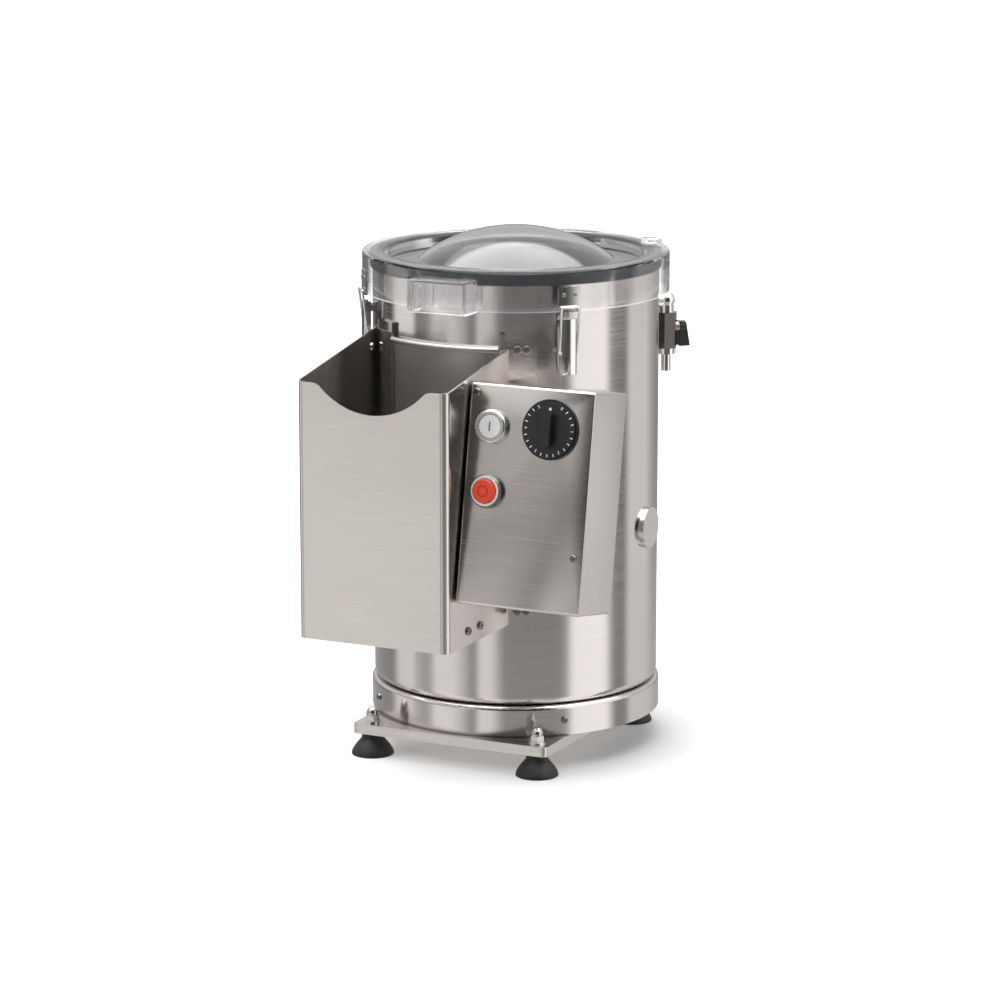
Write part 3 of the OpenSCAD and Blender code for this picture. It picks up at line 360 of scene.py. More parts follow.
@dataclass(frozen=True)
class SteelFinish:
    """Metal sheet or bar with brush lines.

    Attributes:
        name: name of the material.
        colour: base colour.
        roughness: middle roughness.
        spread: how far the lines move the roughness.
        grain: way that the lines run.
        anisotropy: stretch of the highlights.
        bump: height of the lines.
        streak: shade of the dull lines.
        wiped: factors by which the wiped patches move the roughness.
        highlight_turn: turn of the stretched highlights, in full turns.
        round_r: radius at which lines that run round are drawn to scale.
        seam: radius round the drum's axis of a painted shade at the foot of the base ring, or 0 for none.
        seam_inside: distances inside that radius between which the painted shade comes up.
        seam_outside: distances outside it between which the painted shade fades.
        seam_z: heights between which the painted shade comes up.
        seam_share: how much of the painted shade's colour shows.
        seam_colour: colour of the painted shade.
    """

    name: str
    colour: Colour
    roughness: float
    spread: float
    grain: Grain
    anisotropy: float
    bump: float = 0.02
    streak: float = 0.90
    wiped: Span = (0.92, 1.08)
    highlight_turn: float = 0.25
    round_r: float = 145 * MM
    seam: float = 0.0
    seam_inside: Span = (3 * MM, 2 * MM)
    seam_outside: Span = (1.5 * MM, 7 * MM)
    seam_z: Span = (32.4 * MM, 32.8 * MM)
    seam_share: float = 0.9
    seam_colour: Colour = grey(0.03)

    def _vector(self, nodes: Nodes) -> Target:
        """Coordinates whose X runs along the grain.

        Args:
            nodes: builder of the material.

        Returns:
            The vector in metres.
        """
        place = nodes.place()
        if self.grain is Grain.LEVEL:
            return place
        parts = nodes.add("SeparateXYZ", Vector=place).outputs
        if self.grain is Grain.UPRIGHT:
            return nodes.add("CombineXYZ", X=parts["Z"], Y=parts["X"], Z=parts["Y"]).outputs[0]
        angle = nodes.math("ARCTAN2", parts["X"], parts["Y"])
        around = nodes.math("MULTIPLY", angle, self.round_r)
        return nodes.add("CombineXYZ", X=around, Y=parts["Z"], Z=0.0).outputs[0]

    def _joint(self, nodes: Nodes, shade: Target) -> Target:
        """Paint a shade onto the plate round the foot of the base ring.

        Args:
            nodes: builder of the material.
            shade: colour of the sheet.

        Returns:
            The colour with its painted shade.
        """
        # The plate darkens just outside the ring's foot: painted shade where ring and plate meet.
        rise = tuple(self.seam - gap for gap in self.seam_inside)
        fall = tuple(self.seam + gap for gap in self.seam_outside)
        upper = nodes.span(nodes.height(), *self.seam_z, 0.0, self.seam_share)
        shade_mask = nodes.math("MULTIPLY", nodes.band(nodes.reach(), rise, fall), upper)
        return nodes.mix(shade_mask, shade, self.seam_colour)

    def build(self, groups: EffectGroups) -> bpy.types.Material:
        """Make the material.

        Args:
            groups: shared effects.

        Returns:
            The new material.
        """
        material, nodes, shader = new_material(self.name)
        vector = self._vector(nodes)
        lines = nodes.group(groups.brush, Vector=vector)
        patches = nodes.group(groups.smudge, Vector=vector)["Patches"]
        dull = [channel * self.streak for channel in self.colour[:3]] + [1.0]
        shade = nodes.mix(lines["Lines"], dull, self.colour)
        # Painted shade round the base ring's foot, where a radius is given.
        if self.seam > 0.0:
            shade = self._joint(nodes, shade)
        nodes.feed(shader.inputs["Base Color"], shade)
        nodes.feed(shader.inputs["Metallic"], 1.0)
        low, high = self.roughness - self.spread, self.roughness + self.spread
        worn = nodes.span(lines["Fine"], *NOISE_SPAN, low, high)
        wiped = nodes.span(patches, 0.0, 1.0, *self.wiped)
        nodes.feed(shader.inputs["Roughness"], nodes.math("MULTIPLY", worn, wiped))
        bump = nodes.add("Bump", Strength=self.bump, Distance=MM, Height=lines["Fine"])
        nodes.feed(shader.inputs["Normal"], bump.outputs["Normal"])
        if self.anisotropy > 0.0:
            tangent = nodes.add("Tangent", {"direction_type": "RADIAL", "axis": "Z"})
            nodes.feed(shader.inputs["Tangent"], tangent.outputs["Tangent"])
            nodes.feed(shader.inputs["Anisotropic"], self.anisotropy)
            nodes.feed(shader.inputs["Anisotropic Rotation"], self.highlight_turn)
        return material


@dataclass(frozen=True)
class MouldedFinish:
    """Moulded rubber, plastic or enamel.

    Attributes:
        name: name of the material.
        colour: base colour.
        roughness: middle roughness.
        bump: height of the pebbled skin.
        coat: weight of a clear coat.
        coat_roughness: roughness of that coat.
        patches: waves of the handled patches to a metre.
        paler: factor by which those patches are paler.
        lift: what is added to their colour besides.
        worn: factors by which they move the roughness.
    """

    name: str
    colour: Colour
    roughness: float
    bump: float
    coat: float = 0.0
    coat_roughness: float = 0.08
    patches: float = 28.0
    paler: float = 1.25
    lift: float = 0.004
    worn: Span = (0.88, 1.12)

    def build(self, groups: EffectGroups) -> bpy.types.Material:
        """Make the material.

        Args:
            groups: shared effects.

        Returns:
            The new material.
        """
        material, nodes, shader = new_material(self.name)
        place = nodes.place()
        patches = nodes.group(groups.smudge, Vector=place, Scale=self.patches)["Patches"]
        pale = [min(1.0, channel * self.paler + self.lift) for channel in self.colour[:3]] + [1.0]
        nodes.feed(shader.inputs["Base Color"], nodes.mix(patches, self.colour, pale))
        low, high = (min(1.0, self.roughness * factor) for factor in self.worn)
        nodes.feed(shader.inputs["Roughness"], nodes.span(patches, 0.0, 1.0, low, high))
        skin = nodes.group(groups.grain, Vector=place)["Height"]
        bump = nodes.add("Bump", Strength=self.bump, Distance=MM, Height=skin)
        nodes.feed(shader.inputs["Normal"], bump.outputs["Normal"])
        nodes.feed(shader.inputs["Coat Weight"], self.coat)
        nodes.feed(shader.inputs["Coat Roughness"], self.coat_roughness)
        return material


@dataclass(frozen=True)
class ClearFinish:
    """Clear moulded sheet of the lid.

    Attributes:
        name: name of the material.
        colour: tint of the sheet.
        thick_colour: tint of the top, which is seen at a low angle.
        dome_colour: painted reflection, a grey tint on the dome's crown.
        step_colour: painted shade, a near-black tint on the upright step between ring and recess.
        side_colour: painted shade, a grey tint on the skirt where it is seen edge-on.
        edge_light: painted highlight, a glow along the skirt's cut edge.
        crown: heights between which the dome's crown takes its painted reflection.
        step: radii between which the step lies.
        glance: share of turning away over which the skirt takes its painted edge-on shade.
        edge: heights between which the painted highlight of the cut edge ends.
        rim: radius at which the top goes over into the skirt.
        grip_from: radius at which the grip starts.
        fade: width of a soft change between two tints.
        skirt_cover: how much of the skirt shows.
        grip_cover: how much of the grip ahead of the skirt shows.
        clear: share of the light that passes through.
        bending: index of refraction.
        roughness: roughness of clean and of handled patches.
        patches: waves of those patches to a metre.
    """

    name: str
    colour: Colour = (0.985, 0.986, 0.992, 1.0)
    thick_colour: Colour = (0.915, 0.915, 0.935, 1.0)
    dome_colour: Colour = (0.69, 0.685, 0.70, 1.0)
    step_colour: Colour = (0.05, 0.065, 0.065, 1.0)
    side_colour: Colour = (0.42, 0.41, 0.44, 1.0)
    edge_light: Colour = (0.34, 0.34, 0.35, 1.0)
    crown: Span = (509 * MM, 521 * MM)
    step: Span = (128.5 * MM, 134.5 * MM)
    glance: Span = (0.66, 0.84)
    edge: Span = (463.8 * MM, 464.6 * MM)
    rim: float = 151.5 * MM
    grip_from: float = 156.5 * MM
    fade: float = 1 * MM
    skirt_cover: float = 0.16
    grip_cover: float = 0.85
    clear: float = 0.985
    bending: float = 1.49
    roughness: Span = (0.018, 0.048)
    patches: float = 14.0

    def _top(self, nodes: Nodes, reach: Target, height: Target) -> Target:
        """Tint of the lid's top, with a painted reflection on the dome's crown and painted shade on the
        step.

        Args:
            nodes: builder of the material.
            reach: distance from the drum's axis.
            height: height above the bench.

        Returns:
            The tint of ring, step, recess and dome.
        """
        crown = nodes.span(height, *self.crown, 0.0, 1.0)
        # The dome's crown is tinted grey: painted reflection.
        dome = nodes.mix(crown, self.thick_colour, self.dome_colour)
        inner, outer = self.step
        step = nodes.band(reach, (inner - self.fade, inner), (outer, outer + self.fade))
        # The upright step is tinted near black: painted shade.
        return nodes.mix(step, dome, self.step_colour)

    def build(self, groups: EffectGroups) -> bpy.types.Material:
        """Make the material.

        Args:
            groups: shared effects.

        Returns:
            The new material.
        """
        material, nodes, shader = new_material(self.name)
        reach, height = nodes.reach(), nodes.height()
        skirt = nodes.span(reach, self.rim, self.rim + self.fade, 0.0, 1.0)
        glance = nodes.span(nodes.add("LayerWeight").outputs["Facing"], *self.glance, 0.0, 1.0)
        # The skirt turns grey where it is seen edge-on: painted shade.
        side = nodes.mix(glance, self.colour, self.side_colour)
        nodes.feed(shader.inputs["Base Color"], nodes.mix(skirt, self._top(nodes, reach, height), side))
        bare = nodes.span(glance, 0.0, 1.0, self.skirt_cover, 1.0)
        cover = nodes.math("MAXIMUM", bare, nodes.math("SUBTRACT", 1.0, skirt))
        more = self.grip_cover - self.skirt_cover
        grip = nodes.span(reach, self.grip_from, self.grip_from + self.fade, 0.0, more)
        nodes.feed(shader.inputs["Alpha"], nodes.math("MINIMUM", nodes.math("ADD", cover, grip), 1.0))
        # The skirt's cut edge glows: painted highlight.
        edge = nodes.span(height, *self.edge, 1.0, 0.0)
        nodes.feed(shader.inputs["Emission Color"], nodes.mix(edge, BLACK, self.edge_light))
        nodes.feed(shader.inputs["Emission Strength"], 1.0)
        nodes.feed(shader.inputs["Transmission Weight"], self.clear)
        nodes.feed(shader.inputs["IOR"], self.bending)
        patches = nodes.group(groups.smudge, Vector=nodes.place(), Scale=self.patches)["Patches"]
        nodes.feed(shader.inputs["Roughness"], nodes.span(patches, 0.0, 1.0, *self.roughness))
        return material


class Finishes:
    """All finishes of the machine, by the record's slots and by place."""

    # Nodes that have a finish of their own in place of their slot's
    OWN = {
        "drum_steel": ["drum_shell", "base_ring", "drain_spout", "side_plug", "chamber_floor"],
        "sheet_steel": ["chute", "control_box", "control_bracket"],
        "door_steel": ["discharge_door"],
        "plate_steel": ["base_plate", "motor_plate"],
        "bezel_metal": ["start_bezel"],
        "nut_metal": ["cap_nuts"],
        "bezel_dark": ["stop_bezel"],
        "valve_metal": ["valve_body", "valve_ball"],
    }

    def __init__(self, groups: EffectGroups) -> None:
        """Build every material once.

        Args:
            groups: shared effects.
        """
        steel = (0.70, 0.663, 0.635, 1.0)
        drum = (0.70, 0.668, 0.663, 1.0)
        wanted = [
            SteelFinish("drum_steel", drum, 0.17, 0.05, Grain.AROUND, 0.8),
            SteelFinish("sheet_steel", steel, 0.24, 0.03, Grain.LEVEL, 0.5, 0.008, 0.95),
            SteelFinish("door_steel", (0.62, 0.60, 0.585, 1.0), 0.40, 0.03, Grain.LEVEL, 0.0, 0.006),
            # The plate's top is darkened round the foot of the base ring: painted shade.
            SteelFinish("plate_steel", steel, 0.30, 0.09, Grain.LEVEL, 0.3, seam=147.5 * MM),
            SteelFinish("bright_metal", (0.80, 0.79, 0.78, 1.0), 0.12, 0.05, Grain.UPRIGHT, 0.0, 0.01),
            SteelFinish("dark_metal", (0.30, 0.29, 0.28, 1.0), 0.32, 0.08, Grain.LEVEL, 0.0, 0.02),
            SteelFinish("cast_metal", (0.56, 0.56, 0.55, 1.0), 0.42, 0.10, Grain.AROUND, 0.0, 0.05),
            SteelFinish("bezel_metal", (0.72, 0.72, 0.71, 1.0), 0.26, 0.06, Grain.AROUND, 0.0, 0.01),
            SteelFinish("nut_metal", (0.58, 0.56, 0.55, 1.0), 0.20, 0.06, Grain.AROUND, 0.0, 0.01),
            SteelFinish("bezel_dark", (0.16, 0.20, 0.19, 1.0), 0.30, 0.06, Grain.AROUND, 0.0, 0.01),
            SteelFinish("valve_metal", (0.29, 0.265, 0.255, 1.0), 0.22, 0.06, Grain.UPRIGHT, 0.0, 0.01),
            MouldedFinish("black_rubber", (0.010, 0.010, 0.011, 1.0), 0.55, 0.12),
            MouldedFinish("grey_rubber", (0.035, 0.037, 0.042, 1.0), 0.50, 0.08),
            MouldedFinish("black_plastic", (0.010, 0.0105, 0.012, 1.0), 0.38, 0.05),
            MouldedFinish("grey_plastic", (0.20, 0.21, 0.22, 1.0), 0.45, 0.05),
            MouldedFinish("white_plastic", (0.92, 0.92, 0.90, 1.0), 0.28, 0.02, 0.3),
            MouldedFinish("red_plastic", (0.72, 0.050, 0.010, 1.0), 0.28, 0.02, 0.4),
            MouldedFinish("mark_white", (0.80, 0.80, 0.78, 1.0), 0.5, 0.02),
            MouldedFinish("mark_grey", grey(0.16), 0.5, 0.02),
            MouldedFinish("mark_red", (0.45, 0.020, 0.010, 1.0), 0.4, 0.02),
            MouldedFinish("grey_paint", (0.085, 0.095, 0.11, 1.0), 0.35, 0.06, 0.2),
            ClearFinish("clear_plastic"),
        ]
        self.by_name = {finish.name: finish.build(groups) for finish in wanted}

    def dress_frame(self, frame: Dict[str, object]) -> None:
        """Give every CAD node its material.
        """
        named = {node: look for look, nodes in self.OWN.items() for node in nodes}
        for row in frame["record"]["subparts"]:
            node = frame["nodes"][row["node"]]
            self.dress(node, named.get(row["node"], row["material_slot"]))

    def dress(self, obj: bpy.types.Object, look: str) -> None:
        """Put one finish on an object.

        Args:
            obj: object to dress.
            look: name of the finish.
        """
        obj.data.materials.clear()
        obj.data.materials.append(self.by_name[look])

    def set_out(
        self,
        model: bpy.types.Object,
        places: Sequence[Matrix],
        name: str,
        look: str,
        body: Part,
        slot: str,
        replaced: Sequence[str] = (),
        angle: float = SMOOTH,
    ) -> None:
        """Copy a model to its places as one piece, dress it and set it on its body.

        Args:
            model: object to copy, which is used up.
            places: place of each copy.
            name: name of the piece.
            look: name of the finish.
            body: body that it rides on.
            slot: material slot of the record.
            replaced: CAD nodes that it stands for.
            angle: largest angle that is shaded smooth, in degrees.
        """
        piece = Shop.copies(model, places, name)
        self.dress(piece, look)
        Shop.settle(piece, name, body, slot, replaced, angle)


class Shop:
    """Modelling steps that the sub-assemblies share."""

    @staticmethod
    def clear() -> None:
        """Leave edit mode and deselect everything."""
        if bpy.context.object is not None and bpy.context.object.mode != "OBJECT":
            bpy.ops.object.mode_set(mode="OBJECT")
        bpy.ops.object.select_all(action="DESELECT")

    @classmethod
    def take(cls, obj: bpy.types.Object) -> None:
        """Select one object alone and make it active.

        Args:
            obj: object to work on.
        """
        cls.clear()
        obj.select_set(True)
        bpy.context.view_layer.objects.active = obj

    @staticmethod
    def fix() -> None:
        """Put the place, turn and scale of what is selected into its mesh."""
        bpy.ops.object.transform_apply(location=True, rotation=True, scale=True)

    @classmethod
    def cylinder(cls, radius: float, depth: float, sides: int) -> bpy.types.Object:
        """Add a cylinder that stands on the origin.

        Args:
            radius: its radius in metres.
            depth: its height in metres.
            sides: number of sides.

        Returns:
            The new object.
        """
        cls.clear()
        middle = (0, 0, depth / 2)
        bpy.ops.mesh.primitive_cylinder_add(vertices=sides, radius=radius, depth=depth, location=middle)
        cls.fix()
        return bpy.context.object

    @classmethod
    def block(cls, size: Point) -> bpy.types.Object:
        """Add a block that stands on the origin.

        Args:
            size: its lengths in metres.

        Returns:
            The new object.
        """
        cls.clear()
        bpy.ops.mesh.primitive_cube_add(size=1.0, location=(0, 0, size[2] / 2))
        bpy.context.object.scale = size
        cls.fix()
        return bpy.context.object

    @classmethod
    def pull_faces(
        cls, obj: bpy.types.Object, test: Callable[[bpy.types.MeshPolygon], bool], inset: float, pull: Point
    ) -> None:
        """Inset chosen faces and pull them out of the object.

        Args:
            obj: object to edit.
            test: says of each face whether it is pulled.
            inset: width of the rim that stays, in metres.
            pull: way and distance of the pull, in metres.
        """
        cls.take(obj)
        mesh = obj.data
        for item in list(mesh.vertices) + list(mesh.edges):
            item.select = False
        for face in mesh.polygons:
            face.select = test(face)
        bpy.ops.object.mode_set(mode="EDIT")
        bpy.ops.mesh.select_mode(type="FACE")
        bpy.ops.mesh.inset(thickness=inset, depth=0.0)
        bpy.ops.mesh.extrude_region_move(TRANSFORM_OT_translate={"value": pull})
        bpy.ops.object.mode_set(mode="OBJECT")

    @classmethod
    def round_edges(
        cls, obj: bpy.types.Object, test: Callable[[Vector, Vector], bool], width: float, segments: int
    ) -> int:
        """Round chosen edges in edit mode.

        Args:
            obj: object to edit.
            test: says of each edge's two ends whether the edge is rounded.
            width: width of the rounding in metres.
            segments: steps of the rounding.

        Returns:
            The number of edges rounded.
        """
        cls.take(obj)
        mesh = obj.data
        for item in list(mesh.vertices) + list(mesh.polygons):
            item.select = False
        for edge in mesh.edges:
            first, second = (mesh.vertices[index].co for index in edge.vertices)
            edge.select = test(first, second)
        count = sum(edge.select for edge in mesh.edges)
        bpy.ops.object.mode_set(mode="EDIT")
        bpy.ops.mesh.select_mode(type="EDGE")
        bpy.ops.mesh.bevel(offset=width, segments=segments, affect="EDGES", clamp_overlap=False)
        bpy.ops.object.mode_set(mode="OBJECT")
        return count

    @classmethod
    def soften(cls, obj: bpy.types.Object, width: float, segments: int = 2) -> None:
        """Round the sharp edges with a Bevel modifier.

        Args:
            obj: object to round.
            width: width of the bevel in metres.
            segments: steps of the bevel.
        """
        bevel = obj.modifiers.new("Soft edges", "BEVEL")
        bevel.width = width
        bevel.segments = segments
        bevel.limit_method = "ANGLE"
        bevel.angle_limit = math.radians(SHARP)
        cls.apply(obj)

    @classmethod
    def apply(cls, obj: bpy.types.Object) -> None:
        """Apply every modifier of an object.

        Args:
            obj: object to finish.
        """
        cls.take(obj)
        for name in [modifier.name for modifier in obj.modifiers]:
            bpy.ops.object.modifier_apply(modifier=name)

    @classmethod
    def cut(cls, obj: bpy.types.Object, tool: bpy.types.Object, operation: str = "DIFFERENCE") -> None:
        """Join or cut with another object, which is then deleted.

        Args:
            obj: object that stays.
            tool: object that is used up.
            operation: name of the Boolean operation.
        """
        boolean = obj.modifiers.new("Cut", "BOOLEAN")
        boolean.operation = operation
        boolean.solver = "EXACT"
        boolean.object = tool
        cls.apply(obj)
        bpy.data.objects.remove(tool)

    @classmethod
    def twin(cls, node: bpy.types.Object) -> bpy.types.Object:
        """Copy a CAD node's mesh, merge it and join its flat faces.

        Args:
            node: CAD node, which stays as it is.

        Returns:
            The copy, ready to be edited.
        """
        copy = bpy.data.objects.new(node.name + "_copy", node.data.copy())
        bpy.context.scene.collection.objects.link(copy)
        cls.take(copy)
        bpy.ops.mesh.customdata_custom_splitnormals_clear()
        bpy.ops.object.mode_set(mode="EDIT")
        bpy.ops.mesh.select_mode(type="VERT")
        bpy.ops.mesh.select_all(action="SELECT")
        bpy.ops.mesh.remove_doubles(threshold=MERGE)
        bpy.ops.mesh.dissolve_limited(angle_limit=math.radians(FLAT))
        bpy.ops.object.mode_set(mode="OBJECT")
        return copy

    @classmethod
    def lathe(cls, outline: Sequence[Ring], steps: int) -> bpy.types.Object:
        """Draw a closed outline and spin it round Z.

        Args:
            outline: radius and height of each corner, in metres.
            steps: number of steps round the axis.

        Returns:
            The new object.
        """
        cls.clear()
        # Merged to one vertex, the plane is the start of the outline
        bpy.ops.mesh.primitive_plane_add(size=10 * MM, location=(0, 0, 0))
        obj = bpy.context.object
        bpy.ops.object.mode_set(mode="EDIT")
        bpy.ops.mesh.select_mode(type="VERT")
        bpy.ops.mesh.select_all(action="SELECT")
        bpy.ops.mesh.merge(type="CENTER")
        corners = [Vector((radius, 0.0, height)) for radius, height in outline]
        bpy.ops.transform.translate(value=corners[0])
        for at, goal in zip(corners, corners[1:] + corners[:1]):
            bpy.ops.mesh.extrude_region_move(TRANSFORM_OT_translate={"value": goal - at})
        bpy.ops.mesh.select_all(action="SELECT")
        bpy.ops.mesh.spin(steps=steps, angle=math.tau, center=(0, 0, 0), axis=(0, 0, 1))
        bpy.ops.mesh.select_all(action="SELECT")
        bpy.ops.mesh.remove_doubles(threshold=MERGE)
        bpy.ops.mesh.delete_loose(use_verts=True, use_edges=True, use_faces=False)
        bpy.ops.mesh.select_all(action="SELECT")
        bpy.ops.mesh.normals_make_consistent(inside=False)
        bpy.ops.object.mode_set(mode="OBJECT")
        return obj

    @classmethod
    def word(cls, text: str, size: float, height: float) -> bpy.types.Object:
        """Write a short mark as a raised solid, centred on the origin.

        Args:
            text: characters of the mark.
            size: height of the letters in metres.
            height: how far the mark stands up, in metres.

        Returns:
            The new object.
        """
        cls.clear()
        bpy.ops.object.text_add(location=(0, 0, 0))
        letters = bpy.context.object.data
        letters.body = text
        letters.size = size
        letters.extrude = height / 2
        letters.align_x = "CENTER"
        letters.align_y = "CENTER"
        bpy.ops.object.convert(target="MESH")
        bpy.ops.object.mode_set(mode="EDIT")
        bpy.ops.mesh.select_all(action="SELECT")
        bpy.ops.mesh.remove_doubles(threshold=MERGE)
        bpy.ops.mesh.normals_make_consistent(inside=False)
        bpy.ops.transform.translate(value=(0, 0, height / 2))
        bpy.ops.object.mode_set(mode="OBJECT")
        return bpy.context.object

    @classmethod
    def copies(cls, model: bpy.types.Object, places: Sequence[Matrix], name: str) -> bpy.types.Object:
        """Copy a model to each place and join the copies.

        Args:
            model: object to copy, which is deleted afterwards.
            places: place of each copy.
            name: name of the joined object.

        Returns:
            The joined object, with its place in its mesh.
        """
        made: List[bpy.types.Object] = []
        for place in places:
            twin = model.copy()
            twin.data = model.data.copy()
            bpy.context.scene.collection.objects.link(twin)
            twin.matrix_world = place
            made.append(twin)
        bpy.data.objects.remove(model)
        cls.take(made[0])
        for twin in made:
            twin.select_set(True)
        cls.fix()
        if len(made) > 1:
            bpy.ops.object.join()
        made[0].name = name
        return made[0]

    @classmethod
    def settle(
        cls,
        obj: bpy.types.Object,
        name: str,
        body: Part,
        slot: str,
        replaced: Sequence[str] = (),
        angle: float = SMOOTH,
    ) -> None:
        """Smooth a finished piece, name it and set it on its body.

        Args:
            obj: finished object.
            name: name of the piece.
            body: body that it rides on.
            slot: material slot of the record; not used.
            replaced: CAD nodes that it stands for.
            angle: largest angle that is shaded smooth, in degrees.
        """
        cls.take(obj)
        cls.fix()
        bpy.ops.object.shade_smooth_by_angle(angle=math.radians(angle))
        obj.name = name
        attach(obj, body.value)
        if replaced:
            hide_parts(*replaced)
        log.info("piece %s rides %s", name, body.value)


def arc(centre: Ring, radius: float, start: float, end: float, steps: int = 6) -> List[Ring]:
    """Points of an arc in an outline.

    Args:
        centre: radius and height of the arc's centre.
        radius: radius of the arc.
        start: first angle in degrees.
        end: last angle in degrees.
        steps: number of steps.

    Returns:
        The points, from start to end.
    """
    turns = [math.radians(start + (end - start) * step / steps) for step in range(steps + 1)]
    return [(centre[0] + radius * math.cos(turn), centre[1] + radius * math.sin(turn)) for turn in turns]


def bearing(turn: float, radius: float, height: float) -> Matrix:
    """Place whose local Z points away from the drum.

    Args:
        turn: bearing round the drum, in degrees.
        radius: distance from the drum's axis, in metres.
        height: height above the bench, in metres.

    Returns:
        The matrix.
    """
    out = Matrix.Rotation(math.radians(turn), 4, "Z") @ Matrix.Translation((radius, 0, height))
    return out @ SIDEWAYS


@dataclass
class Fasteners:
    """Screw heads and rivets.

    Attributes:
        head_r: radius of a screw head.
        head_h: height of a screw head.
        head_round: rounding of its edge, as a share of its height.
        head_sides: number of its sides.
        shank_in: distance of the shank inside the head's edge, as a share of its radius.
        slot_w: width of its cross slot.
        slot_more: length of the slot beyond its width, as a share of the head's radius.
        slot_less: how much shorter the first slot of the cross is.
        rivet_r: radius of a rivet on a keeper.
        rivet_h: height of a rivet, as a share of its radius.
        rivet_round: rounding of its edge, as a share of its radius.
        rivet_sides: number of its sides.
        steps: steps of each rounding.
    """

    head_r: float = 3.6 * MM
    head_h: float = 2.2 * MM
    head_round: float = 0.45
    head_sides: int = 36
    shank_in: float = 0.3
    slot_w: float = 0.9 * MM
    slot_more: float = 1.3
    slot_less: float = 0.3 * MM
    rivet_r: float = 2.1 * MM
    rivet_h: float = 0.55
    rivet_round: float = 0.5
    rivet_sides: int = 28
    steps: int = 4

    def _domed(self, radius: float, height: float, width: float, sides: int) -> bpy.types.Object:
        """Model a disc whose upper edge is rounded.

        Args:
            radius: radius of the disc.
            height: height of the disc.
            width: width of the rounding.
            sides: number of sides.

        Returns:
            The disc, on the origin and facing +Z.
        """
        head = Shop.cylinder(radius, height, sides)
        Shop.round_edges(head, lambda a, b: min(a.z, b.z) > height / 2, width, self.steps)
        return head

    def screw(self, shank: float = 0.0) -> bpy.types.Object:
        """Model one pan head with a cross slot.

        Args:
            shank: length of its shank below the seat.

        Returns:
            The head, on the origin and facing +Z.
        """
        head = self._domed(self.head_r, self.head_h, self.head_h * self.head_round, self.head_sides)
        if shank > 0.0:
            inset = self.head_r * self.shank_in
            Shop.pull_faces(head, lambda face: face.normal.z < DOWN, inset, (0, 0, -shank))
        reach = self.slot_w + self.slot_more * self.head_r
        for long, wide in ((reach - self.slot_less, self.slot_w), (self.slot_w, reach)):
            tool = Shop.block((long, wide, self.head_h))
            tool.location.z = self.head_h / 2
            Shop.cut(head, tool)
        return head

    def rivet(self) -> bpy.types.Object:
        """Model one domed rivet.

        Returns:
            The rivet, on the origin and facing +Z.
        """
        height, width = self.rivet_r * self.rivet_h, self.rivet_r * self.rivet_round
        return self._domed(self.rivet_r, height, width, self.rivet_sides)


